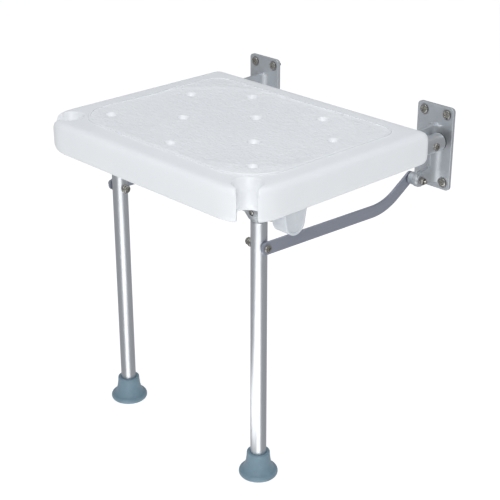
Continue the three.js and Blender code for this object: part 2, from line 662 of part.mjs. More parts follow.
// The rail's web in (y, z): level top edge, round nose about the fold bolt, raked lower edge.
function webShape(back) {
  const shape = new THREE.Shape();
  shape.moveTo(back, foldZ + WEB_NOSE_RADIUS + WEB_TOP_RISE);
  shape.lineTo(foldY, foldZ + WEB_NOSE_RADIUS);
  shape.absarc(foldY, foldZ, WEB_NOSE_RADIUS, Math.PI / 2, Math.PI * 1.5, false);
  shape.lineTo(back, foldZ - WEB_NOSE_RADIUS - WEB_HEEL_DROP);
  return shape;
}

// The strap's lug in (y, z): its top edge falls forwards and its lower edge is level.
function lugShape(back) {
  const shape = new THREE.Shape();
  shape.moveTo(back, lugZ + BOSS_RADIUS + LUG_HEEL_RISE);
  shape.lineTo(foldY, lugZ + BOSS_RADIUS);
  shape.absarc(foldY, lugZ, BOSS_RADIUS, Math.PI / 2, Math.PI * 1.5, false);
  shape.lineTo(back, lugZ - BOSS_RADIUS);
  return shape;
}

// Concave fillets that blend the web and the lug into the plate on both sides.
function webFillets() {
  const back = -PLATE_THICKNESS / 2;
  const front = -PLATE_THICKNESS - WEB_FILLET;
  const profile = new THREE.Shape();
  profile.moveTo(-WEB_THICKNESS / 2 - WEB_FILLET, back);
  profile.lineTo(-WEB_THICKNESS / 2 - WEB_FILLET, -PLATE_THICKNESS);
  profile.absarc(-WEB_THICKNESS / 2 - WEB_FILLET, front, WEB_FILLET, Math.PI / 2, 0, true);
  profile.lineTo(WEB_THICKNESS / 2, front);
  profile.absarc(WEB_THICKNESS / 2 + WEB_FILLET, front, WEB_FILLET, Math.PI, Math.PI / 2, true);
  profile.lineTo(WEB_THICKNESS / 2 + WEB_FILLET, back);
  const bottom = lugZ - BOSS_RADIUS;
  const height = foldZ + WEB_NOSE_RADIUS - bottom;
  return slab(profile, height, 4).translate([webX, 0, bottom]);
}

// ---- Assembly -------------------------------------------------------------------------------------
for (const [side, name] of [[-1, 'left'], [1, 'right']]) {
  add(`wall_bracket_${name}`, wallBracket(side), castMetal);
  wallScrewPlaces().forEach(([x, z], i) => {
    const screw = panScrew(
      WALL_SCREW_RADIUS, WALL_SCREW_LENGTH, WALL_SCREW_HEAD_RADIUS, WALL_SCREW_HEAD_HEIGHT);
    const placed = screw.rotate([90, 0, 0]).translate([side * x, -PLATE_THICKNESS - FIT, z]);
    add(`wall_screw_${name}_${i + 1}`, placed, nickel);
  });
}

add('seat_board', seatBoard(), whitePlastic);

for (const [side, name] of [[-1, 'left'], [1, 'right']]) {
  add(`side_rail_${name}`, sideRail(side), anodised);
  add(`rail_plug_${name}`, railPlug(side), darkPlastic);

  // Fold bolt: head on the rail's outer side, lock nut on the web's inner side.
  const headX = railX + RAIL_RADIUS + FIT;
  const nutX = webX - WEB_THICKNESS / 2 - FIT - NUT_HEIGHT;
  const foldBolt = panScrew(
    PIVOT_BOLT_RADIUS, headX - nutX + CUT, PIVOT_HEAD_RADIUS, PIVOT_HEAD_HEIGHT)
    .rotate([0, 90, 0]).translate([headX, foldY, foldZ]);
  add(`fold_bolt_${name}`, side > 0 ? foldBolt : foldBolt.mirror([1, 0, 0]), nickel);
  const foldNut = lockNut(PIVOT_BOLT_RADIUS + FIT)
    .rotate([0, -90, 0]).translate([nutX + NUT_HEIGHT, foldY, foldZ]);
  add(`fold_nut_${name}`, side > 0 ? foldNut : foldNut.mirror([1, 0, 0]), nickel);

  // Two tapping screws hold the rail up into the seat's bosses.
  seatScrewYs.forEach((y, i) => {
    const screw = panScrew(
      TAPPING_SCREW_RADIUS, 2 * RAIL_RADIUS + SEAT_SCREW_GRIP, TAPPING_HEAD_RADIUS, TAPPING_HEAD_HEIGHT);
    const placed = screw.rotate([180, 0, 0]).translate([side * railX, y, foldZ - RAIL_RADIUS - FIT]);
    add(`seat_screw_${name}_${i + 1}`, placed, nickel);
  });

  add(`pivot_saddle_${name}`, pivotSaddle(side), clipPlastic);
  saddleScrewYs.forEach((y, i) => {
    const screw = panScrew(
      TAPPING_SCREW_RADIUS, SADDLE_EAR_THICKNESS + RAIL_SCREW_GRIP, TAPPING_HEAD_RADIUS, TAPPING_HEAD_HEIGHT);
    const under = foldZ - RAIL_RADIUS - FIT - SADDLE_EAR_THICKNESS - FIT;
    add(`saddle_screw_${name}_${i + 1}`,
      screw.rotate([180, 0, 0]).translate([side * saddleScrewX, y, under]), nickel);
  });
}

add('cross_tube', crossTube(), anodised);

for (const [side, name] of [[-1, 'left'], [1, 'right']]) {
  add(`leg_tee_${name}`, legTee(side), darkCast);
  const teeScrew = panScrew(
    TAPPING_SCREW_RADIUS, TEE_SCREW_LENGTH, TAPPING_HEAD_RADIUS, TAPPING_HEAD_HEIGHT)
    .translate([0, 0, TEE_RADIUS + FIT]);
  add(`tee_screw_${name}`, teeScrewPlaced(teeScrew, side), nickel);
  add(`leg_tube_${name}`, leg(side), anodised);
  add(`leg_tip_${name}`, legTip(side), rubber);

  add(`strap_${name}`, strap(side), barMetal);

  // Leg pin: strap outboard of the leg, spacer inboard; both heads face the same way.
  const strapOuter = LEG_RADIUS + STRAP_GAP + STRAP_THICKNESS;
  const spacerOuter = LEG_RADIUS + FIT + SPACER_THICKNESS;
  const spacer = alongX(washer(SPACER_THICKNESS))
    .translate([-side * (LEG_RADIUS + FIT) - (side > 0 ? SPACER_THICKNESS : 0), 0, 0]);
  add(`leg_spacer_${name}`, moved(spacer, side * legX, legY, legPinZ), nickel);
  const headAt = (side > 0 ? strapOuter : spacerOuter) + FIT;
  const nutAt = (side > 0 ? spacerOuter : strapOuter) + FIT;
  const pin = panScrew(
    PIVOT_BOLT_RADIUS, headAt + nutAt + NUT_HEIGHT, PIVOT_HEAD_RADIUS, PIVOT_HEAD_HEIGHT)
    .rotate([0, 90, 0]).translate([headAt, 0, 0]);
  add(`leg_pin_${name}`, moved(pin, side * legX, legY, legPinZ), nickel);
  const pinNut = lockNut(PIVOT_BOLT_RADIUS + FIT).rotate([0, -90, 0]).translate([-nutAt, 0, 0]);
  add(`leg_pin_nut_${name}`, moved(pinNut, side * legX, legY, legPinZ), nickel);

  // Lug bolt: head inboard of the strap, lock nut outboard of the boss.
  const lugHead = strapX - STRAP_THICKNESS / 2 - FIT;
  const lugNutX = bossOuterX + FIT;
  const lugBolt = panScrew(
    PIVOT_BOLT_RADIUS, lugNutX + NUT_HEIGHT + BOLT_TAIL - lugHead, PIVOT_HEAD_RADIUS, PIVOT_HEAD_HEIGHT)
    .rotate([0, -90, 0]).translate([lugHead, foldY, lugZ]);
  add(`lug_bolt_${name}`, side > 0 ? lugBolt : lugBolt.mirror([1, 0, 0]), nickel);
  const lugNut = lockNut(PIVOT_BOLT_RADIUS + FIT).rotate([0, 90, 0]).translate([lugNutX, foldY, lugZ]);
  add(`lug_nut_${name}`, side > 0 ? lugNut : lugNut.mirror([1, 0, 0]), nickel);
  const lugWasher = alongX(washer(WASHER_THICKNESS))
    .translate([strapX + STRAP_THICKNESS / 2 + FIT, foldY, lugZ]);
  add(`lug_washer_${name}`, side > 0 ? lugWasher : lugWasher.mirror([1, 0, 0]), nickel);
}

export default group;
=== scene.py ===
import math

import bpy
from mathutils import Matrix, Vector


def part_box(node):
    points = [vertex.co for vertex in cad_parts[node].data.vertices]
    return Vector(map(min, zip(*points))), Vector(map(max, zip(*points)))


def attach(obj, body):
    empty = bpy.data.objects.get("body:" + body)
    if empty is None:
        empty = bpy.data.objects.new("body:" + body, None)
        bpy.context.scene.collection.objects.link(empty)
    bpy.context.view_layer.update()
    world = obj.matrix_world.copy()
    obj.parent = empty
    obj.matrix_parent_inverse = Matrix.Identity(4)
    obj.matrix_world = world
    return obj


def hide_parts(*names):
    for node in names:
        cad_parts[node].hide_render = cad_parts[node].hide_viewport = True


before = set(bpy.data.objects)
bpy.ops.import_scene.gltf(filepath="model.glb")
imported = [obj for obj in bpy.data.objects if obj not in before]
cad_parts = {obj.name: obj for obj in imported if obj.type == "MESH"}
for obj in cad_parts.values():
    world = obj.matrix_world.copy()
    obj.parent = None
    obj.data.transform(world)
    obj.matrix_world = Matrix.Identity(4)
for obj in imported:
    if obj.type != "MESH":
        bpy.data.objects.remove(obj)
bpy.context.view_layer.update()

# ---- Studio -------------------------------------------------------------------------------------
# A white sweep with two soft boxes, one on the room side and one overhead, and a camera that looks
# down at the seat's front right corner.
FLOOR_SIZE = 24.0
FLOOR_DROP = 0.0004            # keeps the floor just under the rubber soles
CAMERA_TARGET = Vector((-0.06447, -0.137, 0.21679))
CAMERA_DISTANCE = 1.90434
CAMERA_AZIMUTH = math.radians(46.35)
CAMERA_ELEVATION = math.radians(24.15)
LENS_MM = 89.64
SENSOR_MM = 36.0
FLOOR_GREY = "#8E8E8E"
FLOOR_GLOW = "#FFFFFF"
AIR_GREY = "#C9CCD0"
FLOOR_STRENGTH = 0.88
AIR_STRENGTH = 0.56


def linear(hex_colour):
    """An sRGB hex colour as the linear RGBA that a shader takes."""
    channels = [int(hex_colour[i:i + 2], 16) / 255 for i in (1, 3, 5)]
    return [c / 12.92 if c <= 0.04045 else ((c + 0.055) / 1.055) ** 2.4 for c in channels] + [1.0]


def new_material(name, **settings):
    """A material whose one Principled shader has these settings; returns it and its node tree."""
    made = bpy.data.materials.new(name)
    made.use_nodes = True
    shader = made.node_tree.nodes["Principled BSDF"]
    for socket, value in settings.items():
        shader.inputs[socket.replace("_", " ")].default_value = value
    return made, made.node_tree


def add_node(tree, kind, links=(), inputs=None, **settings):
    """Adds a node. links are (output socket, input name) pairs that feed it."""
    made = tree.nodes.new(kind)
    for setting, value in settings.items():
        setattr(made, setting, value)
    for socket, value in (inputs or {}).items():
        made.inputs[socket].default_value = value
    for source, socket in links:
        tree.links.new(source, made.inputs[socket])
    return made


bpy.ops.object.select_all(action="DESELECT")
bpy.ops.mesh.primitive_plane_add(size=FLOOR_SIZE, location=(0, 0, -FLOOR_DROP))
floor = bpy.context.object
floor.name = "studio_floor"
# Matt acrylic sweep lit from below, so that it stays an even white out to the edges.
paper, paper_tree = new_material("lit_acrylic_sweep", Roughness=0.9, Base_Color=linear(FLOOR_GREY),
                                 Emission_Color=linear(FLOOR_GLOW), Emission_Strength=FLOOR_STRENGTH)
paper_grain = add_node(paper_tree, "ShaderNodeTexNoise", inputs={"Scale": 30.0, "Detail": 2.0})
paper_bump = add_node(paper_tree, "ShaderNodeBump", [(paper_grain.outputs["Fac"], "Height")],
                      {"Strength": 0.02, "Distance": 0.001})
paper_shader = paper_tree.nodes["Principled BSDF"]
paper_tree.links.new(paper_bump.outputs["Normal"], paper_shader.inputs["Normal"])
floor.data.materials.append(paper)
floor.visible_glossy = False     # so that the metal mirrors the soft boxes and not a white floor

world = bpy.data.worlds.new("studio_air")
world.use_nodes = True
world.node_tree.nodes["Background"].inputs["Color"].default_value = linear(AIR_GREY)
world.node_tree.nodes["Background"].inputs["Strength"].default_value = AIR_STRENGTH
bpy.context.scene.world = world


def soft_box(name, place, target, width, height, power):
    """An area light at place that faces target."""
    bpy.ops.object.light_add(type="AREA", location=place)
    lamp = bpy.context.object
    lamp.name = name
    lamp.data.shape = "RECTANGLE"
    lamp.data.size = width
    lamp.data.size_y = height
    lamp.data.energy = power
    toward = Vector(target) - Vector(place)
    lamp.rotation_euler = toward.to_track_quat("-Z", "Y").to_euler()


LIT_SPOT = (0, -0.2, 0.3)
soft_box("room_side_box", (1.44, -2.05, 1.75), LIT_SPOT, 1.3, 1.0, 22)
soft_box("overhead_box", (0.2, -0.4, 2.6), LIT_SPOT, 1.8, 1.8, 23)

# White cards on the floor, one in front of each leg, which only the metal mirrors. Each is a wedge
# that starts at the foot and widens towards the camera, and one lies just over the other.
CARD_ANGLE = math.radians(24)  # half the wedge's angle
CARD_LENGTH = 1.2
CARD_STRENGTH = 0.8
card_white, _ = new_material("card_white", Roughness=1.0, Base_Color=linear(FLOOR_GLOW),
                             Emission_Color=linear(FLOOR_GLOW), Emission_Strength=CARD_STRENGTH)
for side, rise in (("left", 0.0002), ("right", 0.0004)):
    low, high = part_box(f"leg_tip_{side}")
    foot = Matrix.Translation(((low.x + high.x) / 2, (low.y + high.y) / 2, 0))
    bpy.ops.object.select_all(action="DESELECT")
    bpy.ops.mesh.primitive_circle_add(vertices=3, radius=CARD_LENGTH * 2 / 3, fill_type="NGON")
    card = bpy.context.object
    card.name = f"floor_card_{side}"
    card.data.transform(Matrix.Diagonal((math.tan(CARD_ANGLE) * math.sqrt(3), 1, 1, 1)))
    tip_y = max(point.co.y for point in card.data.vertices)
    card.data.transform(Matrix.Translation((0, -tip_y, rise)))
    card.data.transform(foot @ Matrix.Rotation(CAMERA_AZIMUTH, 4, "Z"))
    card.data.materials.append(card_white)
    card.visible_camera = False
    card.visible_diffuse = False
    card.visible_shadow = False

bpy.ops.object.camera_add()
camera = bpy.context.object
camera.name = "catalogue_camera"
outward = Vector((
    math.sin(CAMERA_AZIMUTH) * math.cos(CAMERA_ELEVATION),
    -math.cos(CAMERA_AZIMUTH) * math.cos(CAMERA_ELEVATION),
    math.sin(CAMERA_ELEVATION)))
camera.location = CAMERA_TARGET + CAMERA_DISTANCE * outward
camera.rotation_euler = (-outward).to_track_quat("-Z", "Y").to_euler()
camera.data.lens = LENS_MM
camera.data.sensor_width = SENSOR_MM
camera.data.clip_end = 60
camera.data.dof.use_dof = False
bpy.context.scene.camera = camera
bpy.context.scene.view_settings.view_transform = "Standard"

# ---- Wall brackets --------------------------------------------------------------------------------
# One zinc die casting each side: a plate with four screw holes, a web that the rail's end turns on,
# and a lug with a round boss for the strap. The web and lug run into the plate with large fillets.
CAST_GRID = 0.0008             # mesh size of the castings
PLATE_THICKNESS = 0.005
PLATE_CORNER = 0.006
WEB_THICKNESS = 0.006
WEB_OFFSET = 0.0026            # web middle, outboard of the plate middle
WEB_NOSE = 0.019
WEB_TOP_RISE = 0.002
WEB_HEEL_DROP = 0.006
WEB_FILLET = 0.012
LUG_NOSE = 0.010
LUG_HEEL_RISE = 0.008
WALL_SEAT_RADIUS = 0.0074      # sunk ring round each wall screw's head
WALL_SEAT_DEPTH = 0.0009
WALL_SCREW_BORE = 0.0029
BOSS_RADIUS = 0.009
AIR_GAP = 0.0003               # between pieces that fit each other
CAST_SILVER = "#D2D6DA"
CAST_SHADE = "#C2C7CC"
X_AXIS, Y_AXIS, Z_AXIS = Vector((1, 0, 0)), Vector((0, 1, 0)), Vector((0, 0, 1))


def pick(piece, test, kind="FACE"):
    """Edit mode on piece, with only the faces (or edges, or points) that pass the test selected."""
    if bpy.context.object and bpy.context.object.mode != "OBJECT":
        bpy.ops.object.mode_set(mode="OBJECT")
    bpy.ops.object.select_all(action="DESELECT")
    bpy.context.view_layer.objects.active = piece
    piece.select_set(True)
    mesh = piece.data
    bpy.context.tool_settings.mesh_select_mode = (kind == "VERT", kind == "EDGE", kind == "FACE")
    points = mesh.vertices
    for group in (mesh.vertices, mesh.edges, mesh.polygons):
        group.foreach_set("select", [False] * len(group))
    if kind == "FACE":
        for face in mesh.polygons:
            face.select = test(face.center, face.normal)
    elif kind == "EDGE":
        for edge in mesh.edges:
            edge.select = test(points[edge.vertices[0]].co, points[edge.vertices[1]].co)
    else:
        for point in mesh.vertices:
            point.select = test(point.co)
    bpy.ops.object.mode_set(mode="EDIT")


def place_in_mesh(piece):
    """Puts the object's own place and turn into its mesh, so that the object is at the origin."""
    if bpy.context.object and bpy.context.object.mode != "OBJECT":
        bpy.ops.object.mode_set(mode="OBJECT")
    bpy.ops.object.select_all(action="DESELECT")
    bpy.context.view_layer.objects.active = piece
    piece.select_set(True)
    bpy.ops.object.transform_apply(location=True, rotation=True, scale=True)


def slab(low, high):
    """A block between two corners, ready to be shaped."""
    low, high = Vector(low), Vector(high)
    bpy.ops.object.select_all(action="DESELECT")
    bpy.ops.mesh.primitive_cube_add(size=1, location=(low + high) / 2)
    piece = bpy.context.object
    piece.scale = high - low
    place_in_mesh(piece)
    return piece


def bar(start, end, radius, sides=64, ends="NGON"):
    """A round bar from start to end."""
    start, end = Vector(start), Vector(end)
    bpy.ops.object.select_all(action="DESELECT")
    bpy.ops.mesh.primitive_cylinder_add(
        vertices=sides, radius=radius, depth=(end - start).length, end_fill_type=ends,
        location=(start + end) / 2, rotation=(end - start).to_track_quat("Z", "Y").to_euler())
    piece = bpy.context.object
    place_in_mesh(piece)
    return piece


def combine(piece, tool, how="DIFFERENCE"):
    """Cuts the tool from the piece, or joins it on, and throws the tool away."""
    bpy.ops.object.select_all(action="DESELECT")
    bpy.context.view_layer.objects.active = piece
    step = piece.modifiers.new(how.lower(), "BOOLEAN")
    step.operation = how
    step.solver = "EXACT"
    step.object = tool
    bpy.ops.object.modifier_apply(modifier=step.name)
    bpy.data.objects.remove(tool)
    return piece


def shift(piece, test, offset):
    """Moves the points that pass the test."""
    pick(piece, test, "VERT")
    bpy.ops.transform.translate(value=offset)
    bpy.ops.object.mode_set(mode="OBJECT")


def soften_casting(piece, grid, rounds):
    """Gives a joined solid one even skin and rounds its edges, as a casting's are."""
    bpy.ops.object.select_all(action="DESELECT")
    bpy.context.view_layer.objects.active = piece
    piece.select_set(True)
    piece.data.remesh_voxel_size = grid
    bpy.ops.object.voxel_remesh()
    step = piece.modifiers.new("soften", "SMOOTH")
    step.factor = 0.5
    step.iterations = rounds
    bpy.ops.object.modifier_apply(modifier=step.name)


def mirrored(piece):
    """The other side's copy, with its own mesh."""
    copy = piece.copy()
    copy.data = piece.data.copy()
    bpy.context.collection.objects.link(copy)
    copy.data.transform(Matrix.Scale(-1, 4, X_AXIS))
    copy.data.flip_normals()
    return copy


def finish(piece, name, material, sharp=35):
    """Names a piece, turns its faces outwards, shades it and gives it its material."""
    piece.name = name
    piece.data.name = name
    pick(piece, lambda *_: True)
    bpy.ops.mesh.select_all(action="SELECT")
    bpy.ops.mesh.remove_doubles(threshold=0.000005)
    bpy.ops.mesh.normals_make_consistent(inside=False)
    bpy.ops.object.mode_set(mode="OBJECT")
    bpy.ops.object.shade_smooth_by_angle(angle=math.radians(sharp))
    step = piece.modifiers.new("flat_faces_stay_flat", "WEIGHTED_NORMAL")
    step.keep_sharp = True
    bpy.ops.object.modifier_apply(modifier=step.name)
    if not piece.data.materials:
        piece.data.materials.append(material)
    return piece


def mottle(tree, size, detail, shade, light, stretch=(1, 1, 1)):
    """Varies a material's colour between two tones in patches of a real size; returns the pattern."""
    coords = add_node(tree, "ShaderNodeTexCoord")
    mapping = add_node(tree, "ShaderNodeMapping", [(coords.outputs["Object"], "Vector")],
                       {"Scale": stretch})
    patches = add_node(tree, "ShaderNodeTexNoise", [(mapping.outputs["Vector"], "Vector")],
                       {"Scale": 1 / size, "Detail": detail})
    tint = add_node(tree, "ShaderNodeMix", [(patches.outputs["Fac"], "Factor")], data_type="RGBA")
    tint.inputs["A"].default_value = linear(shade)
    tint.inputs["B"].default_value = linear(light)
    tree.links.new(tint.outputs["Result"], tree.nodes["Principled BSDF"].inputs["Base Color"])
    return patches.outputs["Fac"]


def press_in(tree, pattern, strength, depth=0.0001):
    """Gives a material's surface relief from a pattern, or from a noise of a real size."""
    if isinstance(pattern, float):
        coords = add_node(tree, "ShaderNodeTexCoord")
        noise = add_node(tree, "ShaderNodeTexNoise", [(coords.outputs["Object"], "Vector")],
                         {"Scale": 1 / pattern, "Detail": 2.0})
        pattern = noise.outputs["Fac"]
    bump = add_node(tree, "ShaderNodeBump", [(pattern, "Height")],
                    {"Strength": strength, "Distance": depth})
    tree.links.new(bump.outputs["Normal"], tree.nodes["Principled BSDF"].inputs["Normal"])


# Silver powder coat over zinc: satin, with the fine orange peel of a sprayed and baked coat, whose
# dimples are about 1.2 mm across.
cast_coat, tree = new_material("silver_powder_coat", Metallic=0.75, Roughness=0.44)
mottle(tree, 0.0222, 3.0, CAST_SHADE, CAST_SILVER)
press_in(tree, 0.0012, 0.25, 0.00012)


def middle(node):
    """The middle of a CAD node's box."""
    low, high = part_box(node)
    return (low + high) / 2


plate_low, plate_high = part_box("wall_bracket_right")
web_x = (plate_low.x + plate_high.x) / 2 + WEB_OFFSET
web_in, web_out = web_x - WEB_THICKNESS / 2, web_x + WEB_THICKNESS / 2
screw_spots = [middle(f"wall_screw_right_{i}") for i in range(1, 5)]
fold_y, fold_z = middle("fold_bolt_right").yz
lug_z = middle("lug_bolt_right").z
boss_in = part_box("lug_washer_right")[1].x + AIR_GAP
boss_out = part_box("lug_nut_right")[0].x - AIR_GAP

bracket = slab((plate_low.x, -PLATE_THICKNESS, plate_low.z), (plate_high.x, 0, plate_high.z))
pick(bracket, lambda a, b: abs(a.y - b.y) > 0.001, "EDGE")
bpy.ops.mesh.bevel(offset=PLATE_CORNER, segments=8, affect="EDGES")
bpy.ops.object.mode_set(mode="OBJECT")

web = slab((web_in, fold_y, fold_z - WEB_NOSE), (web_out, -PLATE_THICKNESS / 2, fold_z + WEB_NOSE))
shift(web, lambda p: p.y > fold_y + 0.001 and p.z > fold_z, (0, 0, WEB_TOP_RISE))
shift(web, lambda p: p.y > fold_y + 0.001 and p.z < fold_z, (0, 0, -WEB_HEEL_DROP))
combine(web, bar((web_in, fold_y, fold_z), (web_out, fold_y, fold_z), WEB_NOSE), "UNION")
lug = slab((web_in, fold_y, lug_z - LUG_NOSE), (web_out, -PLATE_THICKNESS / 2, lug_z + LUG_NOSE))
shift(lug, lambda p: p.y > fold_y + 0.001 and p.z > lug_z, (0, 0, LUG_HEEL_RISE))
combine(lug, bar((web_in, fold_y, lug_z), (web_out, fold_y, lug_z), LUG_NOSE), "UNION")
boss = bar((boss_in, fold_y, lug_z), (boss_out, fold_y, lug_z), BOSS_RADIUS)
fillets = slab((web_in - WEB_FILLET, -PLATE_THICKNESS - WEB_FILLET, lug_z - LUG_NOSE),
               (web_out + WEB_FILLET, -PLATE_THICKNESS / 2, fold_z + WEB_NOSE))
for edge_x in (web_in - WEB_FILLET, web_out + WEB_FILLET):
    hollow_y = -PLATE_THICKNESS - WEB_FILLET
    combine(fillets, bar((edge_x, hollow_y, lug_z - 0.05), (edge_x, hollow_y, fold_z + 0.05),
                         WEB_FILLET))
for part in (web, lug, boss, fillets):
    combine(bracket, part, "UNION")
for spot in screw_spots:
    seat_of_head = bar((spot.x, -0.03, spot.z), (spot.x, -PLATE_THICKNESS + WALL_SEAT_DEPTH, spot.z),
                       WALL_SEAT_RADIUS)
    combine(bracket, seat_of_head)
    combine(bracket, bar((spot.x, -0.03, spot.z), (spot.x, 0.01, spot.z), WALL_SCREW_BORE))
soften_casting(bracket, CAST_GRID, 3)
for piece, side in ((mirrored(bracket), "left"), (bracket, "right")):
    finish(piece, f"bracket_{side}", cast_coat, 70)
    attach(piece, "wall_mount")
    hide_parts(f"wall_bracket_{side}")

# ---- Screws, bolts and nuts -----------------------------------------------------------------------
# Pan-head machine and tapping screws with a cross recess, and lock nuts with a black nylon ring.
# Zinc-nickel plated steel: bright and slightly warm.
RECESS_WIDTH = 0.26            # arms of the cross, as shares of the head's radius
RECESS_REACH = 0.62
RECESS_DEPTH = 0.62            # as a share of the head's height
NUT_WIDTH = 0.010              # across flats
NUT_HEX_SHARE = 0.72           # height of the hexagon below the collar
NICKEL_BRIGHT = "#C9C6BF"
NICKEL_DARK = "#9B9892"
NYLON_BLACK = "#1B1C1E"
NYLON_WORN = "#303236"
BOLT_HEAD = 0.0028             # heights of the three kinds of head
WALL_HEAD = 0.0022
TAPPING_HEAD = 0.002
BOLT_SHANK = 0.003
BOLT_BORE = 0.0033

# The plating has a haze in patches about 2 mm across.
plated, tree = new_material("nickel_plated_steel", Metallic=1.0, Roughness=0.24)
haze = mottle(tree, 0.002, 3.0, NICKEL_DARK, NICKEL_BRIGHT)
gloss = add_node(tree, "ShaderNodeMapRange", [(haze, "Value")], {"To Min": 0.18, "To Max": 0.34})
tree.links.new(gloss.outputs["Result"], tree.nodes["Principled BSDF"].inputs["Roughness"])

# Black nylon: satin, in two close tones.
nylon_ring, tree = new_material("black_nylon", Roughness=0.5, IOR=1.53)
mottle(tree, 0.001, 2.0, NYLON_BLACK, NYLON_WORN)


def draw_up(steps, sides=40):
    """A round piece along +Z: a disc whose top is pulled on to each next (radius, height)."""
    (radius, height), *rest = steps
    bpy.ops.object.select_all(action="DESELECT")
    bpy.ops.mesh.primitive_circle_add(
        vertices=sides, radius=radius, fill_type="NGON", location=(0, 0, height))
    piece = bpy.context.object
    place_in_mesh(piece)
    bpy.context.tool_settings.mesh_select_mode = (False, False, True)
    bpy.ops.object.mode_set(mode="EDIT")
    bpy.ops.mesh.select_all(action="SELECT")
    for next_radius, next_height in rest:
        bpy.ops.mesh.extrude_region_move(
            TRANSFORM_OT_translate={"value": (0, 0, next_height - height)})
        factor = next_radius / radius
        bpy.ops.transform.resize(value=(factor, factor, 1), center_override=(0, 0, 0))
        radius, height = next_radius, next_height
    bpy.ops.mesh.select_all(action="SELECT")
    bpy.ops.mesh.normals_make_consistent(inside=False)
    bpy.ops.object.mode_set(mode="OBJECT")
    return piece


def aim(piece, place, direction):
    """Turns a piece drawn along +Z to point along direction, and moves its origin to place."""
    turn = Vector(direction).to_track_quat("Z", "Y").to_matrix().to_4x4()
    piece.data.transform(Matrix.Translation(Vector(place)) @ turn)
    return piece


def pan_screw(place, direction, head, head_height, shank, length, turn=0.0):
    """A cross-head screw; place is under its head, and direction is the way the head faces."""
    rim = [(head * math.cos(a), head_height * (0.35 + 0.65 * math.sin(a)))
           for a in (math.radians(d) for d in (0, 15, 30, 45, 58, 70))]
    screw = draw_up([(shank * 0.8, -length), (shank, -length + shank * 0.3), (shank, 0),
                     (head * 0.97, 0), (head, head_height * 0.08), *rim])
    depth = head_height * RECESS_DEPTH
    for quarter in (0, 1):
        reach, width = head * RECESS_REACH, head * RECESS_WIDTH / 2
        arm = slab((-reach, -width, head_height - depth), (reach, width, head_height * 2))
        arm.data.transform(Matrix.Rotation(turn + quarter * math.pi / 2, 4, "Z"))
        combine(screw, arm)
    return aim(screw, place, direction)


def lock_nut(place, direction, across_flats, height, bore):
    """A hexagon nut with chamfered corners and a round collar that holds the nylon ring."""
    corner = across_flats / 2 / math.cos(math.pi / 6)
    hexagon = draw_up([(corner * 0.93, 0), (corner, height * 0.08),
                       (corner, height * NUT_HEX_SHARE * 0.9),
                       (corner * 0.93, height * NUT_HEX_SHARE)], 6)
    collar = draw_up([(across_flats * 0.455, height * 0.3), (across_flats * 0.455, height * 0.88),
                      (across_flats * 0.42, height), (bore, height), (bore, height * 0.7)])
    combine(hexagon, collar, "UNION")
    combine(hexagon, draw_up([(bore, -height), (bore, height * 2)]))
    return aim(hexagon, place, direction)


def nylon(place, direction, outer, inner, height):
    """The ring pressed into a lock nut's collar."""
    ring = draw_up([(outer, 0), (outer, height * 0.8), (outer * 0.94, height), (inner, height),
                    (inner, 0)], 32)
    return aim(ring, place, direction)


def fastener(piece, name, body, node):
    """Finishes a plated steel piece and hands it over."""
    finish(piece, name, plated, 30)
    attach(piece, body)
    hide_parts(node)


# Wall screws: four to each plate, with wide heads.
for side in ("left", "right"):
    for i in range(1, 5):
        low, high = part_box(f"wall_screw_{side}_{i}")
        spot = middle(f"wall_screw_{side}_{i}")
        screw = pan_screw((spot.x, low.y + WALL_HEAD, spot.z), -Y_AXIS, (high.x - low.x) / 2,
                          WALL_HEAD, 0.0026, high.y - low.y - WALL_HEAD, 0.4 + i)
        fastener(screw, f"plate_screw_{side}_{i}", "wall_mount", f"wall_screw_{side}_{i}")

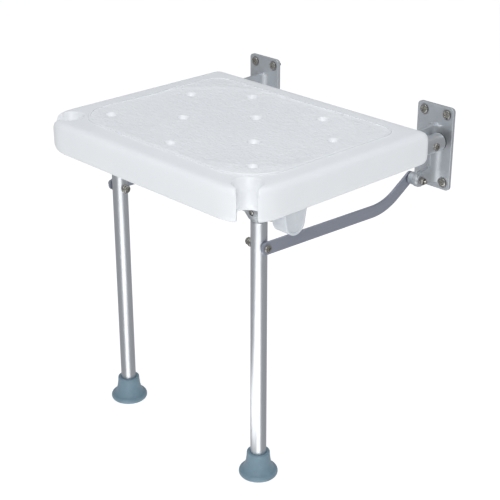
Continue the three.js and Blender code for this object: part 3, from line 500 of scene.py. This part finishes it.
for side, sign in (("left", -1), ("right", 1)):
    outboard = sign * X_AXIS
    # Fold bolt: its head is on the rail's outer side and its nut inside the web.
    low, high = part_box(f"fold_bolt_{side}")
    spot = middle(f"fold_bolt_{side}")
    under_head = (high.x if sign > 0 else low.x) - sign * BOLT_HEAD
    screw = pan_screw((under_head, spot.y, spot.z), outboard, (high.z - low.z) / 2, BOLT_HEAD,
                      BOLT_SHANK, high.x - low.x - BOLT_HEAD, 0.5)
    fastener(screw, f"fold_screw_{side}", "seat", f"fold_bolt_{side}")
    # Lug bolt: its head is inside the strap and its nut outside the boss.
    low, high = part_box(f"lug_bolt_{side}")
    spot = middle(f"lug_bolt_{side}")
    under_head = (low.x if sign > 0 else high.x) + sign * BOLT_HEAD
    screw = pan_screw((under_head, spot.y, spot.z), -outboard, (high.z - low.z) / 2, BOLT_HEAD,
                      BOLT_SHANK, high.x - low.x - BOLT_HEAD, 0.9)
    fastener(screw, f"strap_bolt_{side}", "wall_mount", f"lug_bolt_{side}")
    # Leg pin: both heads face right.
    low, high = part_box(f"leg_pin_{side}")
    spot = middle(f"leg_pin_{side}")
    screw = pan_screw((high.x - BOLT_HEAD, spot.y, spot.z), X_AXIS, (high.z - low.z) / 2,
                      BOLT_HEAD, BOLT_SHANK, high.x - low.x - BOLT_HEAD, 0.3)
    fastener(screw, f"leg_bolt_{side}", "leg_frame", f"leg_pin_{side}")

    for node, name, body, facing in (
            (f"fold_nut_{side}", f"fold_lock_nut_{side}", "seat", -outboard),
            (f"lug_nut_{side}", f"strap_lock_nut_{side}", "wall_mount", outboard),
            (f"leg_pin_nut_{side}", f"leg_lock_nut_{side}", "leg_frame", -X_AXIS)):
        low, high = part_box(node)
        spot = middle(node)
        height = high.x - low.x
        base = Vector((low.x if facing.x > 0 else high.x, spot.y, spot.z))
        fastener(lock_nut(base, facing, NUT_WIDTH, height, BOLT_BORE), name, body, node)
        ring = nylon(base + facing * height * NUT_HEX_SHARE, facing, 0.0041, 0.0031, height * 0.3)
        finish(ring, f"{name}_ring", nylon_ring, 30)
        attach(ring, body)

    # Washer between strap and boss, and the spacer on the leg's inner side.
    for node, name, body in ((f"lug_washer_{side}", f"strap_washer_{side}", "wall_mount"),
                             (f"leg_spacer_{side}", f"leg_collar_{side}", "leg_frame")):
        low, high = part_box(node)
        spot = middle(node)
        outer, thick = (high.z - low.z) / 2, high.x - low.x
        round_off = min(0.0004, thick / 4)
        ring = draw_up([(BOLT_BORE, 0), (outer - round_off, 0), (outer, round_off),
                        (outer, thick - round_off), (outer - round_off, thick), (BOLT_BORE, thick)])
        combine(ring, draw_up([(BOLT_BORE, -0.01), (BOLT_BORE, 0.02)]))
        fastener(aim(ring, (low.x, spot.y, spot.z), X_AXIS), name, body, node)

    # Tapping screws, heads down: two hold the rail to the seat and two hold the saddle to the rail.
    for kind, label, i in (("seat_screw", "rail_screw", 1), ("saddle_screw", "clip_screw", 1),
                           ("seat_screw", "rail_screw", 2), ("saddle_screw", "clip_screw", 2)):
        node, name = f"{kind}_{side}_{i}", f"{label}_{side}_{i}"
        low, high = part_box(node)
        spot = middle(node)
        screw = pan_screw((spot.x, spot.y, low.z + TAPPING_HEAD), -Z_AXIS, (high.x - low.x) / 2,
                          TAPPING_HEAD, 0.002, high.z - low.z - TAPPING_HEAD, 0.7)
        fastener(screw, name, "seat", node)

# Tee screws: one holds each tee to the cross tube, from the room side and a little below.
TEE_SCREW_TILT = math.radians(25)
TEE_SCREW_FACING = Vector((0, -math.cos(TEE_SCREW_TILT), -math.sin(TEE_SCREW_TILT)))
for side in ("left", "right"):
    axis = Vector((middle(f"tee_screw_{side}").x, *middle("cross_tube").yz))
    screw = pan_screw(axis + TEE_SCREW_FACING * 0.0148, TEE_SCREW_FACING, 0.004, TAPPING_HEAD, 0.002,
                      0.012, 0.4)
    fastener(screw, f"tee_grub_{side}", "leg_frame", f"tee_screw_{side}")

# ---- Seat ---------------------------------------------------------------------------------------
# One white polyethylene moulding: a tray turned upside down, with a dished and grained sitting area
# behind a thin raised edge, drain funnels, and a notch in each front corner that holds the handset.
SEAT_TOP = 0.4575
SEAT_WALL = 0.0035
PLATE_UNDERSIDE = 0.4491
SEAT_FRONT_CORNER = 0.057
SEAT_REAR_CORNER = 0.012
EDGE_ROUND = 0.0105             # before the whole moulding is softened
BOARD_GRID = 0.0030
BOARD_SOFTENING = 10
PANEL_SIDE_MARGIN = 0.0305
PANEL_FRONT_MARGIN = 0.0357
PANEL_REAR_MARGIN = 0.028
PANEL_FRONT_CORNER = 0.060
PANEL_REAR_CORNER = 0.032
PANEL_BEAD = 0.0038             # width of the smooth raised edge round the grained area
DISH_DEPTH = 0.0049
GRAIN_CELL = 0.0021            # mesh size of the grained area
RIPPLE_SIZE = 0.0075           # the leather-like ripple of the grain, crest to crest
RIPPLE_RELIEF = 0.0012
NOTCH_INSET = 0.0335
NOTCH_RADIUS = 0.0135
NOTCH_LIP = 0.007
NOTCH_LIP_DEPTH = 0.016        # height of the funnel above and of the rounding below
NOTCH_FOOT = 0.009
NOTCH_WALL = 0.005
SKIRT_WALL = 0.010
DRAIN_PITCH = 0.071
DRAIN_ROWS = (((0,), 0.0645), ((-2, 2), 0.077), ((-1, 1), 0.1475),
              ((0,), 0.2205), ((-2, 2), 0.2245), ((-1, 1), 0.2795))
# A drain's radius at each height above the dished surface: a funnel with a soft lip.
DRAIN_FUNNEL = ((0.0024, -0.012), (0.0024, -0.0052), (0.0034, -0.0048), (0.0050, -0.0039),
                (0.0064, -0.0026), (0.0076, -0.0012), (0.0084, -0.0004), (0.0092, 0.0001),
                (0.0100, 0.0006), (0.0106, 0.0012), (0.0110, 0.004))
POLYETHYLENE_WHITE = "#F1F3F5"
POLYETHYLENE_SHADE = "#E8EBEE"

seat_low, seat_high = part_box("seat_board")
seat_half = seat_high.x
front, rear = seat_low.y, seat_high.y


def rounded_slab(half, near, far, low, high, near_corner, far_corner, rounds=20):
    """A slab across the seat with its four upright edges rounded."""
    piece = slab((-half, near, low), (half, far, high))
    for corner, at_far in ((near_corner, False), (far_corner, True)):
        place = far if at_far else near
        pick(piece, lambda a, b: abs(a.z - b.z) > 0.5 * (high - low) and abs(a.x - b.x) < 1e-6
             and abs(a.y - place) < 1e-6 and abs(abs(a.x) - half) < 1e-6, "EDGE")
        bpy.ops.mesh.bevel(offset=corner, segments=rounds, affect="EDGES")
        bpy.ops.object.mode_set(mode="OBJECT")
    return piece


def round_rim(piece, height, size, rounds):
    """Rounds the edge all round a slab's top or bottom."""
    pick(piece, lambda a, b: abs(a.z - height) < 1e-6 and abs(b.z - height) < 1e-6, "EDGE")
    bpy.ops.mesh.bevel(offset=size, segments=rounds, affect="EDGES")
    bpy.ops.object.mode_set(mode="OBJECT")



def notch_place(tool, sign):
    """Turns a tool drawn round the origin to a front corner, with +X pointing out of the corner."""
    angle = math.radians(-45 if sign > 0 else -135)
    tool.data.transform(Matrix.Rotation(angle, 4, "Z"))
    tool.data.transform(Matrix.Translation((sign * (seat_half - NOTCH_INSET), front + NOTCH_INSET, 0)))
    return tool


def notch_slot(sign, radius):
    """The straight space of a corner notch, which opens diagonally outwards."""
    low, high = 0.38, 0.47     # from below the seat to above it
    tool = bar((0, 0, low), (0, 0, high), radius, 64)
    combine(tool, slab((0, -radius, low), (0.06, radius, high)), "UNION")
    return notch_place(tool, sign)


def notch_funnel(sign):
    """The round mouth above a notch, and the rounding of its wall below."""
    foot = [(NOTCH_RADIUS + NOTCH_FOOT * (1 - t) ** 2, seat_low.z + NOTCH_LIP_DEPTH * t)
            for t in (0.0, 0.2, 0.4, 0.6, 0.8, 1.0)]
    mouth = [(NOTCH_RADIUS + (NOTCH_LIP - 0.0012) * t ** 1.3,
              SEAT_TOP - 0.001 - NOTCH_LIP_DEPTH * (1 - t)) for t in (0.0, 0.2, 0.4, 0.6, 0.8, 1.0)]
    top = NOTCH_RADIUS + NOTCH_LIP
    steps = [(NOTCH_RADIUS + NOTCH_FOOT + 0.002, 0.40), *foot, *mouth,
             (top - 0.0006, SEAT_TOP - 0.0004), (top + 0.0002, SEAT_TOP),
             (top + 0.0012, SEAT_TOP + 0.0003), (top + 0.002, 0.47)]
    return notch_place(draw_up(steps, 72), sign)


board = rounded_slab(seat_half, front, rear, seat_low.z, SEAT_TOP, SEAT_FRONT_CORNER,
                     SEAT_REAR_CORNER)
round_rim(board, SEAT_TOP, EDGE_ROUND, 5)
round_rim(board, seat_low.z, EDGE_ROUND, 5)
for sign in (-1, 1):
    combine(board, notch_slot(sign, NOTCH_RADIUS - 0.001))
soften_casting(board, BOARD_GRID, BOARD_SOFTENING)
for sign in (-1, 1):
    combine(board, notch_funnel(sign))
panel_half = seat_half - PANEL_SIDE_MARGIN
panel_near, panel_far = front + PANEL_FRONT_MARGIN, rear - PANEL_REAR_MARGIN
panel = rounded_slab(panel_half, panel_near, panel_far, 0.453, seat_high.z, PANEL_FRONT_CORNER,
                     PANEL_REAR_CORNER)
round_rim(panel, seat_high.z, 0.0019, 5)
combine(board, panel, "UNION")

# The dish: a fine sheet whose middle is pulled down, with the grain's ripple in it.
across = int(2 * panel_half / GRAIN_CELL)
along = int((panel_far - panel_near) / GRAIN_CELL)
bpy.ops.object.select_all(action="DESELECT")
bpy.ops.mesh.primitive_grid_add(x_subdivisions=across, y_subdivisions=along, size=2)
sheet = bpy.context.object
pick(sheet, lambda p: p.length < 0.02, "VERT")
bpy.ops.transform.translate(
    value=(0, 0, -DISH_DEPTH + 0.0012), use_proportional_edit=True,
    proportional_edit_falloff="SPHERE", proportional_size=1.0)
bpy.ops.object.mode_set(mode="OBJECT")
sheet.data.transform(Matrix.Diagonal((panel_half, (panel_far - panel_near) / 2, 1, 1)))
sheet.data.transform(Matrix.Translation((0, (panel_near + panel_far) / 2, seat_high.z - 0.0013)))
ripple = bpy.data.textures.new("grain_ripple", "CLOUDS")
ripple.noise_scale = RIPPLE_SIZE
ripple.noise_depth = 1
step = sheet.modifiers.new("ripple", "DISPLACE")
step.texture = ripple
step.texture_coords = "LOCAL"
step.direction = "Z"
step.strength = RIPPLE_RELIEF
step.mid_level = 0.5
bpy.ops.object.modifier_apply(modifier=step.name)
pick(sheet, lambda *_: True)
bpy.ops.mesh.select_all(action="SELECT")
bpy.ops.mesh.extrude_region_move(TRANSFORM_OT_translate={"value": (0, 0, 0.02)})
bpy.ops.mesh.select_all(action="SELECT")
bpy.ops.mesh.normals_make_consistent(inside=False)
bpy.ops.object.mode_set(mode="OBJECT")
inside_bead = rounded_slab(panel_half - PANEL_BEAD, panel_near + PANEL_BEAD, panel_far - PANEL_BEAD,
                           0.44, 0.47, PANEL_FRONT_CORNER - PANEL_BEAD,
                           PANEL_REAR_CORNER - PANEL_BEAD)
combine(sheet, inside_bead, "INTERSECT")
combine(board, sheet)

drain_spots = [(column * DRAIN_PITCH, front + setback) for columns, setback in DRAIN_ROWS
               for column in columns]
drain_heights = [board.ray_cast((x + 0.0003, y + 0.0002, 1), (0, 0, -1))[1].z for x, y in drain_spots]

# The hollow underneath, which leaves the notches' walls, the drains' funnels and the screws' bosses.
hollow = rounded_slab(seat_half - SKIRT_WALL, front + SKIRT_WALL, rear - SEAT_WALL, 0.39,
                      PLATE_UNDERSIDE, SEAT_FRONT_CORNER - SKIRT_WALL, SEAT_REAR_CORNER - SEAT_WALL)
round_rim(hollow, PLATE_UNDERSIDE, 0.006, 3)
for sign in (-1, 1):
    combine(hollow, notch_slot(sign, NOTCH_RADIUS + NOTCH_WALL))
for (x, y), height in zip(drain_spots, drain_heights):
    boss = draw_up([(0.0048, height - 0.008), (0.0085, PLATE_UNDERSIDE),
                    (0.0085, PLATE_UNDERSIDE + 0.002)])
    boss.data.transform(Matrix.Translation((x, y, 0)))
    combine(hollow, boss)
rail_x = middle("side_rail_right").x
rail_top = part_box("side_rail_right")[1].z + AIR_GAP
screw_ys = [middle(f"seat_screw_right_{i}").y for i in (1, 2)]
for sign in (-1, 1):
    x = sign * rail_x
    combine(hollow, slab((x - SEAT_WALL / 2, min(screw_ys), rail_top),
                         (x + SEAT_WALL / 2, max(screw_ys), 0.46)))
    for y in screw_ys:
        combine(hollow, bar((x, y, rail_top), (x, y, 0.46), 0.006, 32))
combine(board, hollow)
# The rear skirt is cut away between the rails, and only a lip stays.
combine(board, slab((-0.203, rear - 0.012, 0.40), (0.203, rear + 0.01, rail_top + 0.0017)))
for (x, y), height in zip(drain_spots, drain_heights):
    funnel = draw_up([(radius, height + rise) for radius, rise in DRAIN_FUNNEL])
    funnel.data.transform(Matrix.Translation((x, y, 0)))
    combine(board, funnel)

# Rotationally moulded high-density polyethylene: white, with a soft sheen and a faint waviness.
# The waves of the mould are about 4 mm across.
smooth_white, tree = new_material("white_polyethylene", Roughness=0.36, IOR=1.5)
mottle(tree, 0.0833, 3.0, POLYETHYLENE_SHADE, POLYETHYLENE_WHITE)
press_in(tree, 0.004, 0.15)

# The same plastic where the mould is grained like leather, so that wet skin doesn't slip on it.
# The creases lie between pebbles about 3 mm across, stretched along the seat's width.
grained_white, tree = new_material("grained_white_polyethylene", Roughness=0.45, IOR=1.5)
mottle(tree, 0.0833, 3.0, POLYETHYLENE_SHADE, POLYETHYLENE_WHITE)
coords = add_node(tree, "ShaderNodeTexCoord")
stretch = add_node(tree, "ShaderNodeMapping", [(coords.outputs["Object"], "Vector")],
                   {"Scale": (0.5, 1.0, 1.0)})
pebbles = add_node(tree, "ShaderNodeTexVoronoi", [(stretch.outputs["Vector"], "Vector")],
                   {"Scale": 1 / 0.0032}, feature="SMOOTH_F1")
press_in(tree, pebbles.outputs["Distance"], 0.9, 0.0009)

board.data.materials.append(smooth_white)
board.data.materials.append(grained_white)


def on_grain(centre, normal):
    """Whether a face is on the grained area, inside its raised edge and off the drains."""
    if normal.z < 0.6 or centre.z > seat_high.z - 0.0001 or centre.z < PLATE_UNDERSIDE:
        return False
    if abs(centre.x) > panel_half - PANEL_BEAD:
        return False
    if not panel_near + PANEL_BEAD < centre.y < panel_far - PANEL_BEAD:
        return False
    corner = Vector((abs(centre.x) - panel_half + PANEL_FRONT_CORNER,
                     panel_near + PANEL_FRONT_CORNER - centre.y))
    if corner.x > 0 and corner.y > 0 and corner.length > PANEL_FRONT_CORNER - PANEL_BEAD:
        return False
    return all(math.hypot(centre.x - x, centre.y - y) > 0.0095 for x, y in drain_spots)


pick(board, on_grain)
board.active_material_index = 1
bpy.ops.object.material_slot_assign()
bpy.ops.object.mode_set(mode="OBJECT")
finish(board, "seat_moulding", smooth_white, 32)
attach(board, "seat")
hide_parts("seat_board")

# ---- Side rails and their plugs -------------------------------------------------------------------
# Two 25 mm aluminium tubes under the seat carry it from the wall brackets. They are anodised satin
# silver and closed at the wall end with black plugs.
TUBE_WALL = 0.0015
ALUMINIUM_LIGHT = "#EEF0F2"
ALUMINIUM_SHADE = "#DDE0E3"
PLUG_BLACK = "#17181A"
PLUG_WORN = "#2A2C2F"
PLUG_REACH = 0.008             # into the rail


def tube(start, end, outer):
    """A drawn tube with its cut ends deburred."""
    piece = bar(start, end, outer, 96, "NOTHING")
    step = piece.modifiers.new("wall", "SOLIDIFY")
    step.thickness = TUBE_WALL
    step.offset = -1
    bpy.ops.object.modifier_apply(modifier=step.name)
    step = piece.modifiers.new("deburr", "BEVEL")
    step.width = 0.0003
    step.segments = 2
    step.limit_method = "ANGLE"
    step.angle_limit = math.radians(50)
    bpy.ops.object.modifier_apply(modifier=step.name)
    return piece


def drawn_aluminium(name, stretch_along):
    """Satin anodised aluminium whose fine draw lines run along one axis of the object."""
    made, tree = new_material(name, Metallic=1.0, Roughness=0.36)
    # Draw lines 0.5 mm apart: real ones are finer, and these are as coarse as they need to show.
    lines = mottle(tree, 0.0005, 3.0, ALUMINIUM_SHADE, ALUMINIUM_LIGHT, stretch_along)
    gloss = add_node(tree, "ShaderNodeMapRange", [(lines, "Value")], {"To Min": 0.32, "To Max": 0.40})
    tree.links.new(gloss.outputs["Result"], tree.nodes["Principled BSDF"].inputs["Roughness"])
    press_in(tree, lines, 0.06)
    return made


across_aluminium = drawn_aluminium("anodised_aluminium_across", (0.02, 1, 1))
deep_aluminium = drawn_aluminium("anodised_aluminium_deep", (1, 0.02, 1))
upright_aluminium = drawn_aluminium("anodised_aluminium_upright", (1, 1, 0.02))

# Black polyethylene plug: dull, with a faint moulded grain of 0.8 mm.
plug_black, tree = new_material("black_polyethylene", Roughness=0.55, IOR=1.5)
press_in(tree, mottle(tree, 0.0008, 2.0, PLUG_BLACK, PLUG_WORN), 0.2)

for side in ("left", "right"):
    low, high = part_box(f"side_rail_{side}")
    spot = middle(f"side_rail_{side}")
    rail_radius = (high.z - low.z) / 2
    rail = tube((spot.x, low.y, spot.z), (spot.x, high.y, spot.z), rail_radius)
    finish(rail, f"rail_{side}", deep_aluminium)
    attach(rail, "seat")
    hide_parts(f"side_rail_{side}")
    low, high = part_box(f"rail_plug_{side}")
    bore = rail_radius - TUBE_WALL - AIR_GAP
    crown = high.y - low.y
    plug = draw_up([(bore - 0.0006, 0), (bore, 0.0006), (bore, PLUG_REACH + AIR_GAP),
                    (rail_radius, PLUG_REACH + AIR_GAP), (rail_radius, crown - 0.0006),
                    (rail_radius - 0.0006, crown)], 96)
    combine(plug, draw_up([(bore - 0.0025, -0.001), (bore - 0.0025, 0.006)]))
    aim(plug, (spot.x, low.y, spot.z), Y_AXIS)
    finish(plug, f"rail_end_plug_{side}", plug_black)
    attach(plug, "seat")
    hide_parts(f"rail_plug_{side}")

# ---- Saddles ------------------------------------------------------------------------------------
# A moulded nylon block under each rail, in which the legs' cross tube turns. Natural, greyish
# nylon, with a raised rim round the outer face and a slimmer waist behind it.
SADDLE_GRID = 0.0006
SADDLE_RADIUS = 0.020
SADDLE_NOSE = 0.0164
SADDLE_NOSE_DROP = 0.0048
SADDLE_CAP = 0.003
SADDLE_FACE_RECESS = 0.0008
SADDLE_WAIST_CUT = 0.0022
SADDLE_BODY = 0.0066           # how far the slimmer body stands back from the outer face
NYLON_GREY = "#C5CBD1"
NYLON_PALE = "#D9DEE2"

cross = middle("cross_tube")
cross_radius = (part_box("cross_tube")[1].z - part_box("cross_tube")[0].z) / 2
clip_low, clip_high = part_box("pivot_saddle_right")


def saddle_body(x_in, x_out, top, share=1.0):
    """A U-shaped block round the cross tube, at a share of its full section."""
    nose_z = cross.z - SADDLE_NOSE_DROP * share
    half, taper = SADDLE_RADIUS * share, (SADDLE_RADIUS - SADDLE_NOSE) * share
    piece = slab((x_in, cross.y - half, nose_z), (x_out, cross.y + half, top))
    shift(piece, lambda p: p.z < nose_z + 0.0001 and p.y < cross.y, (0, taper, 0))
    shift(piece, lambda p: p.z < nose_z + 0.0001 and p.y > cross.y, (0, -taper, 0))
    nose = bar((x_in, cross.y, nose_z), (x_out, cross.y, nose_z), SADDLE_NOSE * share, 96)
    return combine(piece, nose, "UNION")


body_out = clip_high.x - SADDLE_BODY
saddle = saddle_body(clip_low.x, clip_high.x, seat_low.z + 0.007)
combine(saddle, saddle_body(clip_low.x, body_out, clip_high.z), "UNION")
combine(saddle, slab((clip_low.x, clip_low.y, clip_high.z - 0.004),
                     (body_out, clip_high.y, clip_high.z)), "UNION")
for sign in (-1, 1):
    near_y = cross.y + sign * (SADDLE_RADIUS - SADDLE_WAIST_CUT)
    far_y = cross.y + sign * (SADDLE_RADIUS + 0.002)
    waist = slab((clip_high.x - 0.019, min(near_y, far_y), cross.z - SADDLE_NOSE_DROP - 0.009),
                 (clip_high.x - 0.0024, max(near_y, far_y), clip_high.z - 0.0045))
    combine(saddle, waist)
combine(saddle, saddle_body(clip_high.x - SADDLE_FACE_RECESS, clip_high.x + 0.002,
                            seat_low.z + 0.006, 0.84))
soften_casting(saddle, SADDLE_GRID, 2)
bore_end = clip_high.x - SADDLE_CAP
bore = cross_radius + AIR_GAP
combine(saddle, bar((clip_low.x - 0.001, cross.y, cross.z), (bore_end, cross.y, cross.z), bore, 64))
combine(saddle, slab((clip_low.x - 0.001, cross.y - bore, cross.z),
                     (bore_end, cross.y + bore, clip_high.z + 0.01)))

# Natural nylon: milky, lets a little light in, satin from a spark-eroded mould with 0.8 mm grain.
natural_nylon, tree = new_material("natural_nylon", Roughness=0.38, IOR=1.53, Subsurface_Weight=0.25,
                                   Subsurface_Radius=(0.004, 0.004, 0.0045), Subsurface_Scale=1.0)
mottle(tree, 0.012, 2.0, NYLON_GREY, NYLON_PALE)
press_in(tree, 0.0008, 0.12)

for piece, side in ((mirrored(saddle), "left"), (saddle, "right")):
    finish(piece, f"saddle_{side}", natural_nylon, 50)
    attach(piece, "seat")
    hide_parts(f"pivot_saddle_{side}")

# ---- Cross tube, tees and legs ----------------------------------------------------------------------
# The legs hang from a 22 mm cross tube that turns in the saddles. A grey coated casting joins each
# leg to it: a sleeve on the cross tube, and a flared neck with a spigot in the leg.
low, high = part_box("cross_tube")
cross_tube = tube((low.x, cross.y, cross.z), (high.x, cross.y, cross.z), cross_radius)
finish(cross_tube, "leg_cross_tube", across_aluminium)
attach(cross_tube, "leg_frame")
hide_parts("cross_tube")

TEE_RADIUS = 0.0145
TEE_SLEEVE_REACH = 0.027       # half the sleeve's length
TEE_NECK = 0.006
TEE_SPIGOT = 0.020
TEE_SLEEVE_END = 0.0008        # chamfer
GUSSET_TOP, GUSSET_TAPER = 0.024, 0.0145
LEG_RADIUS = 0.011
CASTING_GREY = "#BCC0C4"
CASTING_SHADE = "#A8ACB0"

# Grey powder coat on die-cast aluminium: satin, with pebbles of 1 mm.
tee_coat, tree = new_material("grey_powder_coat", Metallic=0.6, Roughness=0.46)
press_in(tree, mottle(tree, 0.001, 2.0, CASTING_SHADE, CASTING_GREY), 0.3)

leg_x = middle("leg_tee_right").x
shoulder = cross.z - TEE_RADIUS - TEE_NECK
sleeve_length = 2 * TEE_SLEEVE_REACH
sleeve = draw_up([(TEE_RADIUS - TEE_SLEEVE_END, 0), (TEE_RADIUS, TEE_SLEEVE_END),
                  (TEE_RADIUS, sleeve_length - TEE_SLEEVE_END),
                  (TEE_RADIUS - TEE_SLEEVE_END, sleeve_length)], 96)
tee = aim(sleeve, (leg_x - TEE_SLEEVE_REACH, cross.y, cross.z), X_AXIS)
gusset = slab((leg_x - GUSSET_TOP, cross.y - 0.009, shoulder + 0.001),
              (leg_x + GUSSET_TOP, cross.y + 0.009, cross.z - 0.006))
shift(gusset, lambda p: p.z < shoulder + 0.002 and p.x < leg_x, (GUSSET_TAPER, 0, 0))
shift(gusset, lambda p: p.z < shoulder + 0.002 and p.x > leg_x, (-GUSSET_TAPER, 0, 0))
combine(tee, gusset, "UNION")
neck_top = TEE_RADIUS - 0.0003
neck_curve = [(LEG_RADIUS + (neck_top - LEG_RADIUS) * t * t,
               shoulder + TEE_NECK * 2 * t * (1 - t) + 1.5 * TEE_NECK * t * t)
              for t in (0.2, 0.4, 0.6, 0.8, 1.0)]
spigot_radius = LEG_RADIUS - TUBE_WALL - AIR_GAP
neck = draw_up([(spigot_radius - 0.0005, shoulder - TEE_SPIGOT),
                (spigot_radius, shoulder - TEE_SPIGOT + 0.0005), (spigot_radius, shoulder - 0.0001),
                (LEG_RADIUS + 0.0001, shoulder), *neck_curve, (neck_top, cross.z)], 96)
combine(tee, aim(neck, (leg_x, cross.y, 0), Z_AXIS), "UNION")
soften_casting(tee, 0.0007, 5)
combine(tee, bar((leg_x - 0.04, cross.y, cross.z), (leg_x + 0.04, cross.y, cross.z), bore, 96))
# A flat spot for the screw's head.
axis = Vector((leg_x, cross.y, cross.z))
combine(tee, bar(axis + TEE_SCREW_FACING * TEE_RADIUS, axis + TEE_SCREW_FACING * 0.03, 0.0043, 40))
for piece, side in ((mirrored(tee), "left"), (tee, "right")):
    finish(piece, f"tee_{side}", tee_coat, 40)
    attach(piece, "leg_frame")
    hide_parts(f"leg_tee_{side}")

for side in ("left", "right"):
    low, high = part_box(f"leg_tube_{side}")
    spot = middle(f"leg_tube_{side}")
    leg = tube((spot.x, spot.y, low.z), (spot.x, spot.y, high.z), (high.x - low.x) / 2)
    finish(leg, f"leg_{side}", upright_aluminium)
    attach(leg, "leg_frame")
    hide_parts(f"leg_tube_{side}")

# ---- Leg tips -----------------------------------------------------------------------------------
# Wide rubber feet pushed onto the legs: a rounded base, a hollow flare, and a straight collar.
TIP_BASE = 0.0272
TIP_COLLAR = 0.016
TIP_HEIGHT = 0.036
TIP_SOLE = 0.008
RUBBER_BLUE = "#7D97A6"
RUBBER_SHADE = "#6C8695"

# Blue-grey thermoplastic rubber: dull, with a soft sheen on the rounded rim.
# The mould gives it a matt grain of 0.9 mm.
tip_rubber, tree = new_material("blue_grey_rubber", Roughness=0.52, IOR=1.52, Sheen_Weight=0.15,
                                Sheen_Roughness=0.5)
mottle(tree, 0.008, 4.0, RUBBER_SHADE, RUBBER_BLUE)
press_in(tree, 0.0009, 0.2)

rim = [(TIP_BASE - 0.003 + 0.003 * math.sin(a), 0.00425 - 0.00425 * math.cos(a))
       for a in (math.pi * i / 12 for i in range(12))]
flare = [((1 - t) ** 2 * (TIP_BASE - 0.003) + 2 * t * (1 - t) * (TIP_COLLAR + 0.001)
          + t * t * TIP_COLLAR,
          (1 - t) ** 2 * 0.0085 + 2 * t * (1 - t) * 0.0115 + t * t * (TIP_HEIGHT - 0.001))
         for t in (i / 16 for i in range(17))]
tip_bore = LEG_RADIUS + AIR_GAP
tip = draw_up([*rim, *flare, (TIP_COLLAR - 0.0003, TIP_HEIGHT - 0.0003),
               (TIP_COLLAR - 0.001, TIP_HEIGHT), (tip_bore + 0.0006, TIP_HEIGHT),
               (tip_bore, TIP_HEIGHT - 0.0006), (tip_bore, TIP_SOLE)], 96)
# Three grip rings in the sole.
for ring in (0.021, 0.015, 0.009):
    groove = draw_up([(ring + 0.0012, -0.001), (ring + 0.0009, 0.0012), (ring - 0.0009, 0.0012),
                      (ring - 0.0012, -0.001)], 96)
    combine(tip, groove)
tip_spot = middle("leg_tip_right")
aim(tip, (tip_spot.x, tip_spot.y, 0), Z_AXIS)
for piece, side in ((mirrored(tip), "left"), (tip, "right")):
    finish(piece, f"tip_{side}", tip_rubber, 40)
    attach(piece, "leg_frame")
    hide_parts(f"leg_tip_{side}")

# ---- Straps -------------------------------------------------------------------------------------
# A flat bar each side keeps the leg upright while the seat folds. It is cranked near the bracket,
# with round drilled ends and its edges tumbled smooth.
STRAP_WIDTH = 0.017
STRAP_THICKNESS = 0.0036
KNEE_BACK = 0.052
KNEE_DROP = 0.032
KNEE_REACH = 0.026             # knee to where the bend starts
STRAP_GREY = "#A9AEBB"
STRAP_SHADE = "#9A9FAC"

strap_x = middle("strap_right").x
leg_end = Vector((0, middle("leg_pin_right").y, middle("leg_pin_right").z))
lug_end = Vector((0, fold_y, lug_z))
knee = lug_end + Vector((0, -KNEE_BACK, -KNEE_DROP))
first, second = (knee - leg_end).normalized(), (lug_end - knee).normalized()
bend = first.angle(second)
bend_radius = KNEE_REACH / math.tan(bend / 2)
bend_start = knee - first * KNEE_REACH
bend_centre = bend_start + Vector((0, -first.z, first.y)) * bend_radius
first_length = (bend_start - leg_end).length
strap = slab((-STRAP_THICKNESS / 2, 0, -STRAP_WIDTH / 2),
             (STRAP_THICKNESS / 2, first_length, STRAP_WIDTH / 2))
slope = math.atan2(first.z, first.y)
strap.data.transform(Matrix.Translation(leg_end) @ Matrix.Rotation(slope, 4, "X"))
pick(strap, lambda centre, normal: normal.dot(first) > 0.9)
bpy.ops.mesh.spin(steps=14, angle=-bend, center=bend_centre, axis=(1, 0, 0))
bpy.ops.mesh.extrude_region_move(
    TRANSFORM_OT_translate={"value": second * (lug_end - knee).length - second * KNEE_REACH})
bpy.ops.mesh.select_all(action="SELECT")
bpy.ops.mesh.normals_make_consistent(inside=False)
bpy.ops.object.mode_set(mode="OBJECT")
half_bar = Vector((STRAP_THICKNESS / 2, 0, 0))
for end in (leg_end, lug_end):
    combine(strap, bar(end - half_bar, end + half_bar, STRAP_WIDTH / 2, 64), "UNION")
for end in (leg_end, lug_end):
    combine(strap, bar(end - 3 * half_bar, end + 3 * half_bar, BOLT_BORE, 40))
step = strap.modifiers.new("tumbled_edges", "BEVEL")
step.width = 0.0006
step.segments = 3
step.limit_method = "ANGLE"
step.angle_limit = math.radians(50)
bpy.context.view_layer.objects.active = strap
bpy.ops.object.modifier_apply(modifier=step.name)
strap.data.transform(Matrix.Translation((strap_x, 0, 0)))

# Grey lacquered steel flat bar: satin, with faint rolling marks along it, long and 1 mm apart.
strap_lacquer, tree = new_material("grey_lacquered_steel", Metallic=0.55, Roughness=0.42)
press_in(tree, mottle(tree, 0.001, 3.0, STRAP_SHADE, STRAP_GREY, (1, 0.04, 1)), 0.1)

for piece, side in ((mirrored(strap), "left"), (strap, "right")):
    finish(piece, f"fold_strap_{side}", strap_lacquer, 40)
    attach(piece, f"strap_{side}")
    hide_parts(f"strap_{side}")

# ---- Leave nothing selected -----------------------------------------------------------------------
bpy.ops.object.select_all(action="DESELECT")
